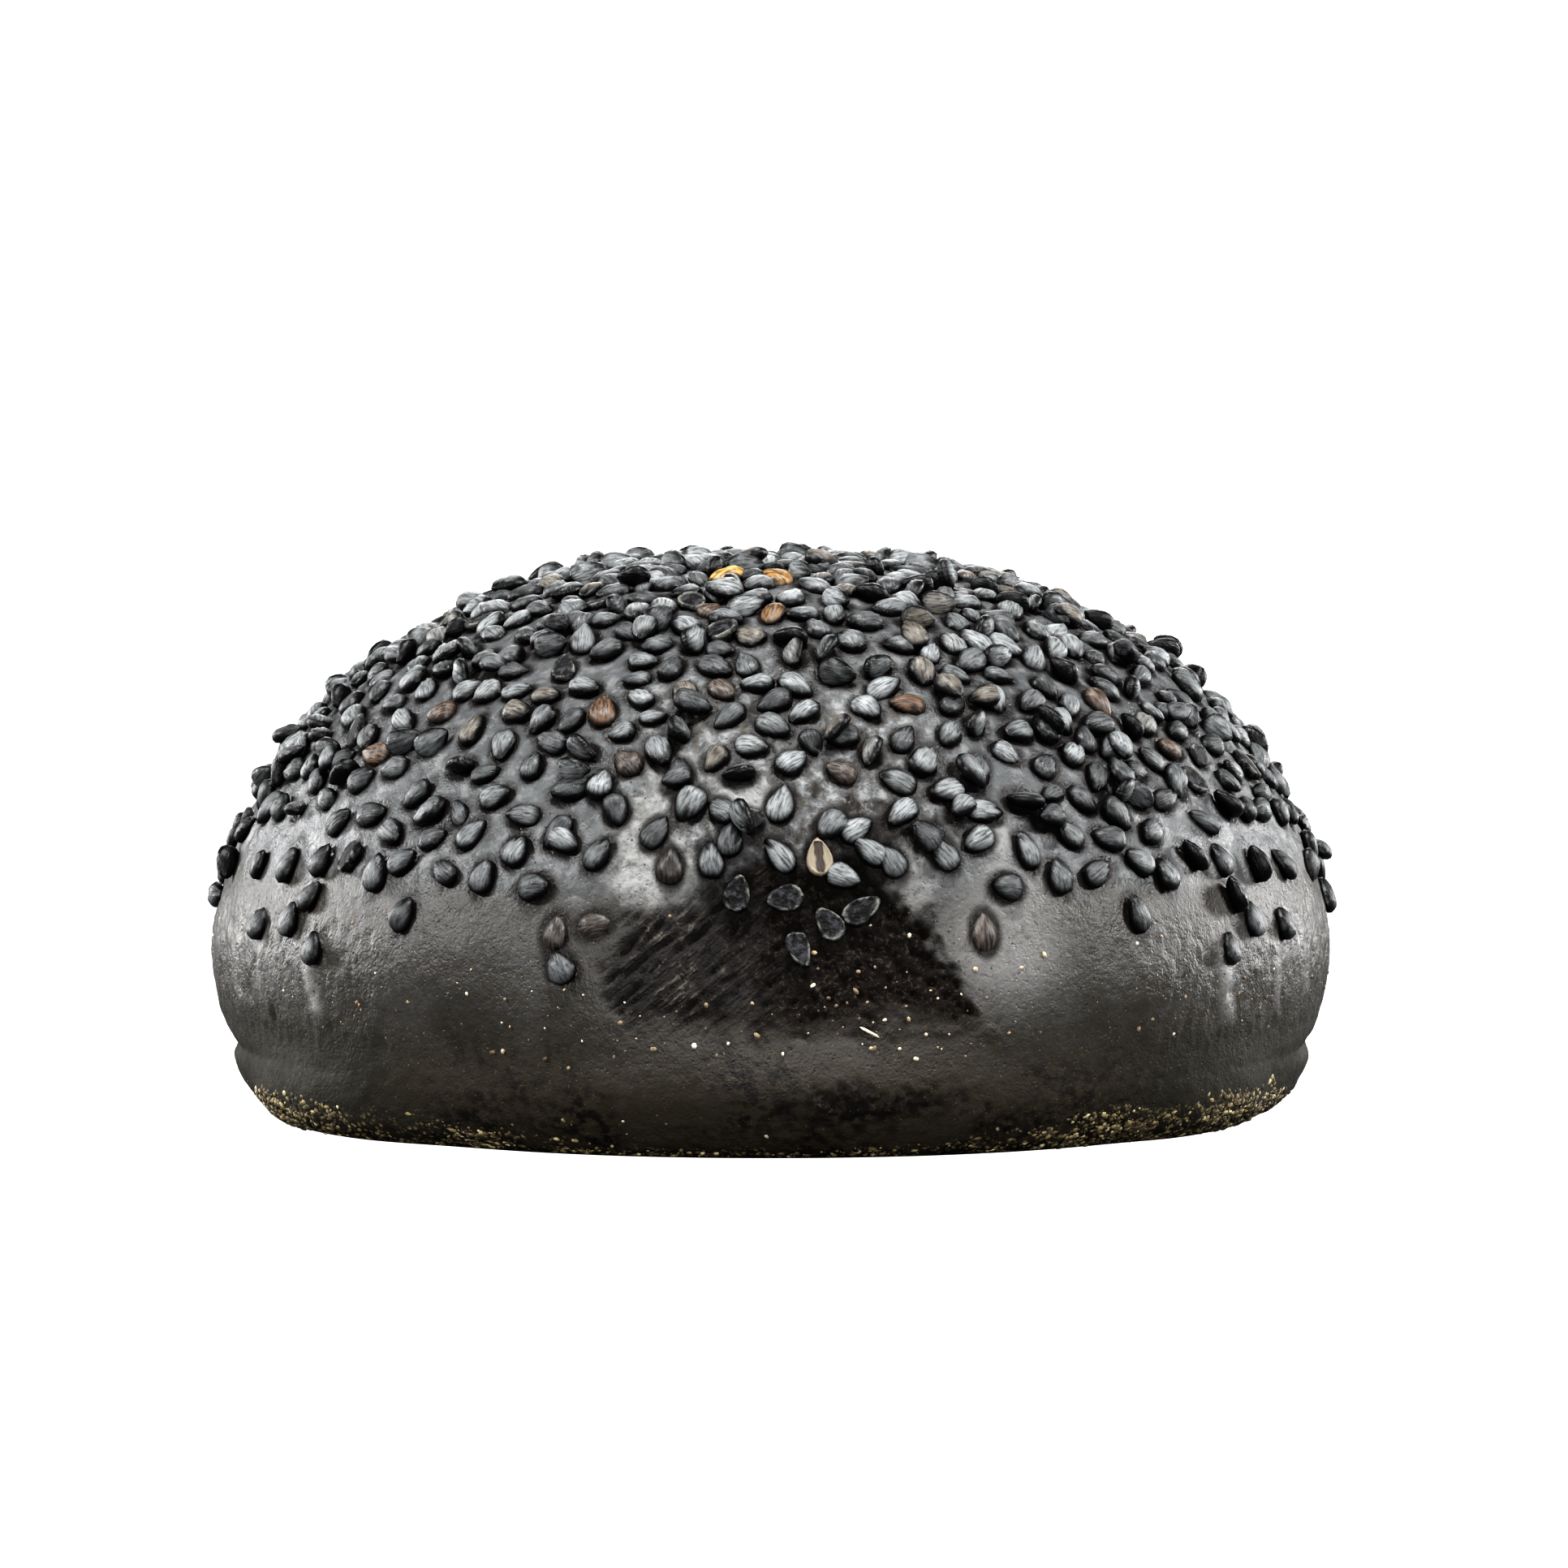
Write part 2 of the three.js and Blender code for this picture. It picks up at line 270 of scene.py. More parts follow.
def solid_seeds():
    """The seeds that are part of the solid, by the same draws, and those too crowded to be in it."""
    random = random_from(SOLID_SEED_DRAW)
    vary = spread_from(random)
    places = np.empty((0, 3))
    seeds, crowded = [], []

    def add(azimuth, angle, turn):
        """Adds a seed to the solid's, unless it lies too near another. Says whether it did."""
        nonlocal places
        at = dome_frame(azimuth, angle)
        if len(places) and np.linalg.norm(places - at["origin"], axis=1).min() < SOLID_SEED_SPACING:
            return False
        places = np.vstack([places, at["origin"]])
        size = [mean * (1 + vary(SEED_SPREAD)) for mean in SEED_SIZE]
        tilt = (vary(SEED_SLOPE), vary(SEED_SLOPE))
        seeds.append(new_seed(at, turn, size, tilt))
        return True

    def add_at_front(across, height, turn, kind=None):
        azimuth = -math.acos(across / radius_at(height))
        angle = float(dome_angle(height))
        if add(azimuth, angle, math.radians(turn)):
            seeds[-1]["kind"] = kind
        else:
            crowded.append(new_seed(dome_frame(azimuth, angle), math.radians(turn), SEED_SIZE, kind=kind))

    for seed in MIDDLE_SEEDS:
        add_at_front(*seed)
    for across, height, turn, *kind in FLANK_SEEDS:
        add_at_front(-across, height, turn, *kind)
        add_at_front(across, height, 180 - turn, *kind)
    for azimuth, height in STRAYS:
        add(math.radians(azimuth), float(dome_angle(height)), 2 * math.pi * random())
    for _ in range(SOLID_SEED_TRIES):
        azimuth = 2 * math.pi * random()
        angle = math.asin(random())
        turn = 2 * math.pi * random()
        if is_seeded(azimuth, float(dome_point(angle)[1])):
            add(azimuth, angle, turn)
    return seeds + crowded


# Seeds between those of the solid lie closer together near the crown than at the edge of the crust.
FILL_DRAW = 90125
FILL_TRIES = 16000
FILL_HEIGHTS = (26.0, 36.0, 46.0, 51.0)
FILL_SPACINGS = (3.1, 2.62, 2.5, 2.2)
FILL_SIZE_SPREAD = 0.18
FILL_SIDE_SPREAD = 0.08
FILL_SLOPE = 0.3
NEIGHBOURHOOD = 4.5
TURNS_TRIED = 9
HALF_SEED = 0.62
SEED_ROOM = 1.75
MOST_OVERLAP = 0.15
MOST_PROPPED = 0.6
PROPPED_SLOPE = 0.55
STACKED_TRIES = 90
STACKED_FROM = 0.3
STACKED_SIZE_SPREAD = 0.12
STACKED_SLOPE = 0.5
STACKED_LIFT = 0.8


def long_ends(seed):
    """Two points of a seed's long axis, near its ends."""
    at = seed["frame"]
    along = at["round"] * math.cos(seed["turn"]) + at["up"] * math.sin(seed["turn"])
    return np.stack([at["origin"] + HALF_SEED * along, at["origin"] - HALF_SEED * along])


def room_at(seed, ends):
    """How far a seed is clear of the seeds round it. It is negative where they overlap."""
    if not len(ends):
        return SEED_ROOM
    gaps = np.linalg.norm(long_ends(seed)[:, None] - ends[None], axis=-1)
    return gaps.min() - SEED_ROOM


def fill_seeds(seeds):
    """Fills the crown with seeds, each turned the way that leaves it the most room."""
    random = random_from(FILL_DRAW)
    vary = spread_from(random)
    places = np.array([seed["frame"]["origin"] for seed in seeds])
    ends = np.concatenate([long_ends(seed) for seed in seeds])
    for _ in range(FILL_TRIES):
        azimuth = 2 * math.pi * random()
        angle = math.asin(random())
        radius, height = dome_point(angle)
        if not is_seeded(azimuth, float(height)):
            continue
        spacing = float(np.interp(height, FILL_HEIGHTS, FILL_SPACINGS))
        origin = skin_point(azimuth, radius, height)
        if np.linalg.norm(places - origin, axis=1).min() < spacing:
            continue
        grown = 1 + vary(FILL_SIZE_SPREAD)
        size = [grown * mean * (1 + vary(FILL_SIDE_SPREAD)) for mean in SEED_SIZE]
        seed = new_seed(dome_frame(azimuth, angle), 0.0, size, (vary(FILL_SLOPE), vary(FILL_SLOPE)))
        first = math.pi * random()
        turns = [first + math.pi * k / TURNS_TRIED for k in range(TURNS_TRIED)]
        near = ends[np.linalg.norm(ends - origin, axis=1) < NEIGHBOURHOOD]
        rooms = [room_at({**seed, "turn": turn}, near) for turn in turns]
        best = int(np.argmax(rooms))
        seed["turn"] = turns[best] + (math.pi if random() < 0.5 else 0)
        if rooms[best] < -MOST_OVERLAP:
            seed["lift"] = min(MOST_PROPPED, -rooms[best])
            seed["tilt"] = (vary(PROPPED_SLOPE), vary(PROPPED_SLOPE))
        places = np.vstack([places, origin])
        ends = np.concatenate([ends, long_ends(seed)])
        seeds.append(seed)
    return seeds


def stack_seeds(seeds):
    """A few seeds lie on top of others, propped at a slant."""
    random = random_from(FILL_DRAW + 1)
    vary = spread_from(random)
    for _ in range(STACKED_TRIES):
        angle = math.asin(STACKED_FROM + (1 - STACKED_FROM) * random())
        azimuth = 2 * math.pi * random()
        if is_seeded(azimuth, float(dome_point(angle)[1])):
            grown = 1 + vary(STACKED_SIZE_SPREAD)
            seeds.append(new_seed(dome_frame(azimuth, angle), math.pi * vary(1),
                                  [grown * mean for mean in SEED_SIZE],
                                  (vary(STACKED_SLOPE), vary(STACKED_SLOPE)), STACKED_LIFT))
    return seeds


# Kinds of seed, each with the share of seeds dealt to it.
KIND_SHARES = {"plump": 0.37, "creased": 0.3, "ribbed": 0.29, "rimmed": 0.04}
DEAL_DRAW = 777
# How far painted shade dims the seeds at the sides.
SIDE_SHADING = 0.5
ON_EDGE_SHARE = 0.2
ON_EDGE_TILT = (1.0, 1.45)
ON_EDGE_LIFT = 0.35
DULL_BROWN = 0.3

# Brown seeds: seen from the front, each is a distance right of the middle, a height on the picture plane,
# and how golden it is.
BROWN_SPOTS = [
    (-3.1, 52.4, 1.0), (0.6, 51.1, 0.8), (-6.1, 49.2, 0.5), (1.1, 48.4, 0.7), (13.4, 41.0, 0.65),
    (-13.4, 41.0, 0.65), (-4.7, 41.0, 0.35), (5.4, 36.0, 0.2), (5.6, 33.9, 0.25), (-35.5, 37.2, 0.6),
    (35.8, 37.4, 0.55), (-12.8, 34.8, 0.2), (-28.6, 40.3, 0.5), (28.6, 40.3, 0.5),
]
FRONT_REACH = -50.0
BROWN_ELSEWHERE = 0.012

# Brown seeds low on the flank are half buried in the crust.
EMBEDDED_BELOW = 22.0
EMBEDDED_DEPTH = 0.6


def seen_from_front(seed):
    """Where the camera at the front sees a seed: how far right of the middle, and how high."""
    x, y, z = seed["frame"]["origin"]
    return np.array([x, z + (y - FRONT_REACH) * math.tan(VIEW_RISE)])


def side_shade(seed):
    """Painted shade: seeds away from the middle and low on the dome are dimmer than on the crown and at the
    front.
    """
    across, _, height = seed["frame"]["origin"]
    return 1 - SIDE_SHADING * smoothstep(10, 26, abs(across)) * smoothstep(37, 31, height)


def deal_kinds(seeds):
    """Gives each seed a kind and a tone from 0 to 1, in which painted shade dims the seeds at the sides,
    and turns some on edge.
    """
    random = random_from(DEAL_DRAW)
    front = [seed for seed in seeds if seed["frame"]["normal"][1] < 0.1 and seed["kind"] is None]
    seen = np.array([seen_from_front(seed) for seed in front])
    for across, height, golden in BROWN_SPOTS:
        nearest = front[int(np.linalg.norm(seen - (across, height), axis=1).argmin())]
        nearest["kind"] = "brown"
        nearest["tone"] = golden
    kinds = list(KIND_SHARES)
    bounds = np.cumsum(list(KIND_SHARES.values()))
    for seed in seeds:
        chance, tone, edge, lean = random(), random(), random(), random()
        if seed["kind"] is None and seed["frame"]["origin"][1] > 0 and chance < BROWN_ELSEWHERE:
            seed["kind"] = "brown"
        if seed["kind"] is None:
            seed["kind"] = kinds[min(int(np.searchsorted(bounds, chance)), len(kinds) - 1)]
            if seed["kind"] != "rimmed" and edge < ON_EDGE_SHARE:
                low, high = ON_EDGE_TILT
                seed["tilt"] = (seed["tilt"][0], low + (high - low) * lean)
                seed["lift"] += ON_EDGE_LIFT
        share = DULL_BROWN if seed["kind"] == "brown" else side_shade(seed)
        seed.setdefault("tone", tone * share)
        if seed["frame"]["origin"][2] < EMBEDDED_BELOW and seed["kind"] == "brown":
            seed["lift"] -= EMBEDDED_DEPTH


# The forms of a seed, on a unit scale. Rings run from its upper face over its edge to its lower face,
# each a share of the way out and a height.
AROUND = 16
PEBBLE_RINGS = [(0.3, 0.49), (0.56, 0.43), (0.78, 0.31), (0.92, 0.16), (1.0, -0.04), (0.93, -0.25),
                (0.6, -0.42)]
DISH_RINGS = [(0.4, 0.27), (0.68, 0.23), (0.8, 0.25), (0.88, 0.3), (0.95, 0.2), (1.0, 0.0), (0.7, -0.36)]
PEBBLE_TOP = 0.51
DISH_TOP = 0.3
DISH_SHOWN = 0.7
SLIT_LENGTH = 0.42
SLIT_WIDTH = 0.18
RIM_AT = 0.88
RIM_WIDTH = 0.085
FORM_BOTTOM = -0.48
POINT_DROP = 0.25
RIB_HEIGHT = 0.07
RIB_TURNS = 30
GROOVE = dict(aside=0.08, depth=0.2, width=0.07, from_middle=0.4)
KEEL = dict(height=0.07, width=0.06)


def seed_form(kind):
    """Points of one seed, 1 long, 1 wide and 1 thick, and how far each is on its rim and its top."""
    dished = kind in ("rimmed", "tan")
    rings = np.array(DISH_RINGS if dished else PEBBLE_RINGS)
    out, z = np.repeat(rings, AROUND, axis=0).T
    angle = np.tile(2 * math.pi * np.arange(AROUND) / AROUND, len(rings))
    x = 0.5 * out * np.cos(angle)
    y = 0.5 * out * np.sin(angle) * (1 - SEED_NARROWING * np.cos(angle))
    upper = z > 0
    rim = np.zeros(len(x))
    if kind == "tan":
        rim = 1 - np.exp(-((y / SLIT_WIDTH) ** 4)) * (np.abs(x) < SLIT_LENGTH)
    elif dished:
        rim = np.exp(-((out - RIM_AT) / RIM_WIDTH) ** 2) * upper
    else:
        z = z * (1 - POINT_DROP * np.cos(angle) * out)
    if kind == "ribbed":
        z = z + upper * RIB_HEIGHT * np.cos(y * RIB_TURNS) * out
    if kind == "creased":
        groove = np.exp(-(((y - GROOVE["aside"]) / GROOVE["width"]) ** 2)) * (out > GROOVE["from_middle"])
        z = z - upper * GROOVE["depth"] * groove
    if kind in ("plump", "brown"):
        z = z + upper * KEEL["height"] * np.exp(-((y / KEEL["width"]) ** 2)) * (x > 0)
    x = np.concatenate([[0], x, [0]])
    y = np.concatenate([[0], y, [0]])
    z = np.concatenate([[DISH_TOP if dished else PEBBLE_TOP], z, [FORM_BOTTOM]])
    rim = np.concatenate([[0], rim, [rim[-1]]])
    # The top value lets the materials paint light on a seed's upper face and shade on its sides.
    top = np.where((z > 0.15) & dished, DISH_SHOWN, z + 0.5)
    return np.stack([x, y, z], -1), rim, top


def form_faces(rings):
    """Triangles that join the rings of a seed and close its ends."""
    faces = []
    last = 1 + rings * AROUND
    for side in range(AROUND):
        after = (side + 1) % AROUND
        faces.append((0, 1 + side, 1 + after))
        faces.append((last, last - AROUND + after, last - AROUND + side))
        for ring in range(rings - 1):
            a = 1 + ring * AROUND + side
            b = 1 + ring * AROUND + after
            faces.append((a, a + AROUND, b + AROUND))
            faces.append((a, b + AROUND, b))
    return np.array(faces)


# Each seed is a little larger than in the solid and warped.
SEED_GROWTH = np.array([1.1, 1.08, 1.5])
SEED_SUNK = 0.42
WARP = 0.09
WARP_BUMPS = 2.4


def turned(first, second, angle):
    cos, sin = math.cos(angle), math.sin(angle)
    return first * cos - second * sin, first * sin + second * cos


def set_on(at, x, y, z):
    """Points given round, up and out of the skin at a place."""
    return at["origin"] + np.outer(x, at["round"]) + np.outer(y, at["up"]) + np.outer(z, at["normal"])


def place_form(points, seed, warp):
    """One seed's form at its size, warped a little, tilted, turned and set on the skin."""
    x, y, z = (points * seed["size"] * SEED_GROWTH * (1 + WARP * warp[:, None])).T
    x, z = turned(x, z, seed["tilt"][0])
    y, z = turned(y, z, seed["tilt"][1])
    x, y = turned(x, y, seed["turn"])
    return set_on(seed["frame"], x, y, z + SEED_SUNK * seed["size"][2] + seed["lift"])


# Meshes.

def foot_shift():
    """How far the solid was moved to stand with the middle of its box over the origin, in metres."""
    middle = min((vertex.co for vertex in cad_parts[NODE].data.vertices), key=lambda co: co.length)
    return Vector((middle.x, middle.y, 0))


SHIFT = foot_shift()


def add_object(name, data, place=(0, 0, 0)):
    thing = bpy.data.objects.new(name, data)
    thing.location = place
    bpy.context.scene.collection.objects.link(thing)
    return thing


def make_piece(name, points, faces, values, material):
    """A smooth-shaded mesh from points in mm, with values named for each point, in place of the solid."""
    mesh = bpy.data.meshes.new(name)
    mesh.from_pydata((points * MM).tolist(), [], faces)
    for label, numbers in values.items():
        mesh.attributes.new(label, "FLOAT", "POINT").data.foreach_set("value", numbers.astype(np.float32))
    mesh.shade_smooth()
    mesh.materials.append(material)
    piece = add_object(name, mesh, SHIFT)
    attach(piece, BODY)
    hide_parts(NODE)
    return piece


def join_forms(name, seeds, kind, material, salt):
    """All the seeds of one kind as one mesh."""
    points, rim, top = seed_form(kind)
    faces = form_faces((len(points) - 2) // AROUND)
    steps = np.arange(len(seeds))
    placed = [place_form(points, seed, noise(points * WARP_BUMPS + (step * 3.7, salt * 5.1, 0), salt))
              for step, seed in zip(steps, seeds)]
    values = {
        "rim": np.tile(rim, len(seeds)),
        "top": np.tile(top, len(seeds)),
        "along": np.tile(points[:, 0], len(seeds)),
        "aside": np.tile(points[:, 1], len(seeds)) + np.repeat(steps * 1.7, len(points)),
        "tone": np.repeat([seed["tone"] for seed in seeds], len(points)),
    }
    all_faces = np.concatenate([faces + step * len(points) for step in steps]).tolist()
    return make_piece(name, np.concatenate(placed), all_faces, values, material)


# The crust's grid.
FRONT_STEP = 0.27
SIDE_STEP = 0.38
BACK_STEP = 0.62
FLANK_TOP = 27.0
FLANK_ROW_STEP = 0.27
CROWN_ROW_STEP = 0.6
FOOT_ROWS = 7


def column_azimuths():
    """Azimuths of the grid's columns: finest round the sunken patch at the front."""
    def span(start, end, step):
        arc = math.radians(end - start) * HALF_WIDTH
        count = max(2, round(arc / step))
        return np.radians(np.linspace(start, end, count, endpoint=False))

    return np.concatenate([span(-180, -128, SIDE_STEP), span(-128, -58, FRONT_STEP),
                           span(-58, 0, SIDE_STEP), span(0, 180, BACK_STEP)])


def profile_rows():
    """Radius and height of each row of the grid, from near the crown down to the rim of the foot."""
    angles = np.linspace(math.pi / 2 - 1e-4, 0, 4000)
    dome_height = dome_point(angles)[1]
    under = np.sin(np.linspace(0, math.pi / 2, 800)[1:])
    height = np.concatenate([dome_height, np.linspace(WIDEST_HEIGHT, CREASE_HEIGHT, 800)[1:],
                             CREASE_HEIGHT * (1 - under)])
    radius = np.concatenate([dome_point(angles)[0], radius_at(height[len(angles):])])
    run = np.concatenate([[0], np.cumsum(np.hypot(np.diff(radius), np.diff(height)))])
    to_flank = np.interp(-FLANK_TOP, -height, run)
    rows = np.concatenate([
        np.linspace(0, to_flank, round(to_flank / CROWN_ROW_STEP), endpoint=False)[1:],
        np.linspace(to_flank, run[-1], round((run[-1] - to_flank) / FLANK_ROW_STEP)),
    ])
    return np.interp(rows, run, radius), np.interp(rows, run, height)


def grid_faces(rows, columns):
    """Quads between the rows, which close on themselves, and a fan at each end."""
    row, column = np.meshgrid(np.arange(rows - 1), np.arange(columns), indexing="ij")
    a = (row * columns + column).ravel()
    b = (row * columns + (column + 1) % columns).ravel()
    quads = np.stack([a, a + columns, b + columns, b], -1).tolist()
    crown = rows * columns
    foot = crown + 1
    side = np.arange(columns)
    after = (side + 1) % columns
    last = (rows - 1) * columns
    fans = [[crown, i, j] for i, j in zip(side.tolist(), after.tolist())]
    fans += [[foot, last + j, last + i] for i, j in zip(side.tolist(), after.tolist())]
    return quads + fans


# Places on the front's skin: distances round the widest ring from the middle, and heights, in mm.
SUNKEN_LEFT = -14.5
SUNKEN_RIGHT = 19.8
SUNKEN_RIGHT_SLANT = 0.62
SUNKEN_BOTTOM = 12.5
SUNKEN_TOP = 26.5
SUNKEN_TOP_DROP = 4.0
CRACK_ACROSS = 20.5
CRACK_WIDTH = 0.3
CRACK_DEPTH = 0.4

# Spots, each as a distance right of the middle, a height, a half width, a half height and a strength.
SPOT_EDGE = 1.25
STAINS = [(7.3, 30.5, 6.3, 6.1, 1.0), (-1.0, 38.0, 5.0, 4.5, 0.7)]
DRY = [
    (-11.0, 26.4, 4.6, 3.8, 0.88), (-9.5, 32.5, 4.2, 3.4, 0.55), (-2.6, 30.3, 3.2, 2.8, 0.7),
    (14.5, 25.5, 2.4, 3.0, 0.5), (22.0, 28.5, 2.2, 1.6, 0.6),
]
# A pale spot right of the sunken patch is painted sheen on the smooth crust.
SHEEN_SPOTS = [(22.0, 20.5, 7.0, 7.5, 0.9)]
TORN = [(8.5, 5.4, 8.0, 2.0, 1.0), (23.0, 3.2, 3.4, 1.3, 0.8)]

# Where flour clings: azimuths in degrees, and strengths.
FLOUR_SIDES = [(-38.0, 1.15), (-142.0, 0.9)]
FLOUR_HALF_TURN = 22.0


def flour_reach(azimuth):
    """How strongly flour clings at an azimuth, about 1 at the corners of the base."""
    return sum(share * np.exp(-((np.degrees(azimuth) - side) / FLOUR_HALF_TURN) ** 2)
               for side, share in FLOUR_SIDES)


def spotted(spots, arc, height, ragged, inner):
    """How far each place is inside any of the spots, with ragged edges."""
    inside = np.zeros(len(arc))
    for across, up, half_width, half_height, share in spots:
        out = np.hypot((arc - across) / half_width, (height - up) / half_height)
        inside = np.maximum(inside, share * smoothstep(SPOT_EDGE, inner, out + ragged))
    return inside


# Folds that stand up the flank, each as an azimuth in degrees, a width in mm and a strength. The crust
# paints them paler as a highlight.
FOLDS = [
    (-142.3, 1.0, 1.0), (-37.7, 1.0, 1.0), (-153, 0.7, 0.5), (-27, 0.7, 0.5), (-161, 1.3, 0.4),
    (-19, 1.3, 0.4), (38, 1.2, 0.5), (150, 1.1, 0.5),
]
FOLD_DEPTH = 0.4


def folded_share(azimuth, height):
    fold_and_highlight = np.zeros(len(azimuth))
    for fold, width, strength in FOLDS:
        gap = (arc_between(azimuth, math.radians(fold)) + 0.6 * np.sin(height * 0.5)) / width
        fold_and_highlight += strength * np.exp(-gap * gap)
    return fold_and_highlight * smoothstep(9.5, 12.5, height) * smoothstep(19.5, 17.0, height)


def masks(azimuth, height, places):
    """How much of each look and relief a place has, from 0 to 1."""
    arc = arc_between(azimuth, FRONT)
    wander = layered(places / 5.0, 11)
    fine = layered(places / 1.6, 12)
    right_edge = SUNKEN_RIGHT - SUNKEN_RIGHT_SLANT * (height - SUNKEN_BOTTOM)
    top_edge = SUNKEN_TOP - SUNKEN_TOP_DROP * smoothstep(-2.0, -10.0, arc)
    sunken = 1.0
    for low, high, inside, waviness, raggedness in (
        (-0.7, 1.5, right_edge - arc, 1.6, 1.1), (-2.0, 2.5, arc - SUNKEN_LEFT, 1.6, 0.8),
        (-2.0, 1.6, height - SUNKEN_BOTTOM, 1.4, 0.6), (2.0, -1.6, height - top_edge, 1.8, 1.0),
    ):
        sunken = sunken * smoothstep(low, high, inside + waviness * wander + raggedness * fine)
    above = spotted(STAINS, arc, height, 0, 0.6) * smoothstep(-0.25, 0.35, wander + 0.5 * fine)
    stained = np.maximum(sunken * smoothstep(-9.0, 2.0, arc + 3.0 * wander), above)
    dry = spotted(DRY, arc, height, 0.3 * wander + 0.2 * fine, 0.5)
    sunken *= 1 - 0.85 * dry
    painted_sheen = spotted(SHEEN_SPOTS, arc, height, 0.1 * wander, 0.2) * (1 - sunken)
    rough = smoothstep(20, 13, np.abs(arc - 1) + 2 * wander) * smoothstep(25, 28, height)
    rough *= smoothstep(44, 38, height)
    crown = smoothstep(22.5, 26.0, height + 1.2 * wander)
    sides = np.abs(np.cos(azimuth))
    wrinkled = smoothstep(0.4, 0.8, sides) * smoothstep(7.5, 10, height) * smoothstep(23, 19, height)
    reach = flour_reach(azimuth)
    floury = smoothstep(1.2 + 3.0 * reach, 0.3 + 1.4 * reach, height + 0.8 * fine + wander)
    torn = spotted(TORN, arc, height, 0.25 * wander + 0.3 * fine, 0.5)
    cracked = np.exp(-((arc - CRACK_ACROSS + 0.4 * fine) / CRACK_WIDTH) ** 2)
    cracked *= smoothstep(5.8, 4.8, height) * smoothstep(2.0, 3.0, height)
    low = smoothstep(15.5, 5.0, height + 1.2 * wander)
    base = smoothstep(9.5, 6.5, height + 0.8 * wander)
    side = smoothstep(12.5, 9.5, height + 0.8 * wander) * smoothstep(0.5, 0.75, sides)
    fold_and_highlight = folded_share(azimuth, height) * (0.8 + 0.4 * fine)
    return dict(sunken=sunken, stained=stained, dry=dry, painted_sheen=painted_sheen, rough=rough, crown=crown, low=low,
                wrinkled=wrinkled, floury=floury, side=side, base=base, fold_and_highlight=fold_and_highlight,
                torn=np.maximum(torn, cracked), cracked=cracked)


STRIATION_SLANT = math.radians(40)
WRINKLE_LEAN = 0.2


def flank_relief(places, mask):
    """Wrinkles and folds that stand up the flank, leaning in towards the foot."""
    leaning = places.copy()
    leaning[:, 0] -= WRINKLE_LEAN * np.sign(places[:, 0]) * places[:, 2]
    out = mask["wrinkled"] * 0.11 * ridged(leaning / (0.9, 0.9, 3.4), 3)
    out += mask["wrinkled"] * 0.07 * noise(leaning / (0.5, 0.5, 1.5), 4)
    return out + FOLD_DEPTH * mask["fold_and_highlight"]


def patch_relief(azimuth, height, places, mask):
    """The sunken patch: slanting ridges on its left, torn crumb on its right, and a sharp right edge."""
    arc = arc_between(azimuth, FRONT)
    along = arc * math.cos(STRIATION_SLANT) + height * math.sin(STRIATION_SLANT)
    across = height * math.cos(STRIATION_SLANT) - arc * math.sin(STRIATION_SLANT)
    flow = np.stack([across / 0.7, along / 4.5, 0 * arc], -1)
    left = smoothstep(7.0, -5.0, arc)
    sunken = mask["sunken"]
    out = sunken * (0.25 + 0.75 * left) * 0.4 * ridged(flow + 0.3 * noise(places / 4.0, 14)[:, None], 5)
    out += sunken * (0.22 - 0.08 * left) * layered(places / 0.9, 6)
    out += sunken * (1 - left) * 0.2 * ridged(places / 1.0, 13)
    out += 4 * sunken * (1 - sunken) * 0.25 * smoothstep(6.0, 11.0, arc)
    return out - sunken * 0.55


def crown_relief(places, mask, seed_gap):
    """Crust that swells round each seed, torn and grainy at the front."""
    out = mask["crown"] * (0.15 * layered(places / 2.6, 8, 2) + 0.1 * ridged(places / 2.2, 19))
    out += mask["crown"] * 0.16 * np.exp(-((seed_gap - 1.3) / 0.35) ** 2)
    out -= mask["crown"] * 0.25 * (seed_gap < 0.75)
    out += mask["rough"] * (0.2 * layered(places / 1.5, 15) + 0.12 * ridged(places / 0.9, 16))
    return out + mask["dry"] * (0.16 * layered(places / 1.8, 7) + 0.1 * ridged(places / 1.1, 17))


# Away from the sides, the bend at the crease is rounded out.
CREASE_SHOWS = 80
CREASE_FILL = 0.42
CREASE_FILL_REACH = 2.4


def fine_relief(azimuth, height, places, mask, seed_gap):
    """The crust's own small relief, in mm out of the skin."""
    out = 0.16 * layered(places / 8.0, 1, 2) + 0.04 * layered(places / 1.3, 2, 2)
    out += flank_relief(places, mask)
    out += patch_relief(azimuth, height, places, mask)
    out += crown_relief(places, mask, seed_gap)
    out += mask["floury"] * (0.22 * layered(places / 0.9, 9, 2) + 0.1)
    out += mask["base"] * 0.07 * layered(places / 1.4, 18, 2)
    out += mask["torn"] * (0.3 * layered(places / 0.9, 21) - 0.1) - CRACK_DEPTH * mask["cracked"]
    off_sides = 1 - np.cos(azimuth) ** CREASE_SHOWS
    out += CREASE_FILL * off_sides * np.exp(-((height - CREASE_HEIGHT) / CREASE_FILL_REACH) ** 2)
    return out * smoothstep(0.0, 1.2, height)


SEEDS_NEAR = 3


def nearest_seed(places, wanted, seeds):
    """How far each wanted place is from the nearest seed, in its half sizes, and a lot for the rest."""
    tree = kdtree.KDTree(len(seeds))
    for index, seed in enumerate(seeds):
        tree.insert(seed["frame"]["origin"], index)
    tree.balance()
    turn = np.array([seed["turn"] for seed in seeds])[:, None]
    origin, round_, up = (np.array([seed["frame"][key] for seed in seeds])
                          for key in ("origin", "round", "up"))
    half = np.array([seed["size"] for seed in seeds])[:, :2] * SEED_GROWTH[:2] / 2
    along = (round_ * np.cos(turn) + up * np.sin(turn)) / half[:, :1]
    across = (up * np.cos(turn) - round_ * np.sin(turn)) / half[:, 1:]
    rows = np.flatnonzero(wanted)
    near = np.array([[hit[1] for hit in tree.find_n(places[row], SEEDS_NEAR)] for row in rows])
    offset = places[rows][:, None] - origin[near]
    gap = np.full(len(places), 9.0)
    gap[rows] = np.hypot((offset * along[near]).sum(-1), (offset * across[near]).sum(-1)).min(1)
    return gap


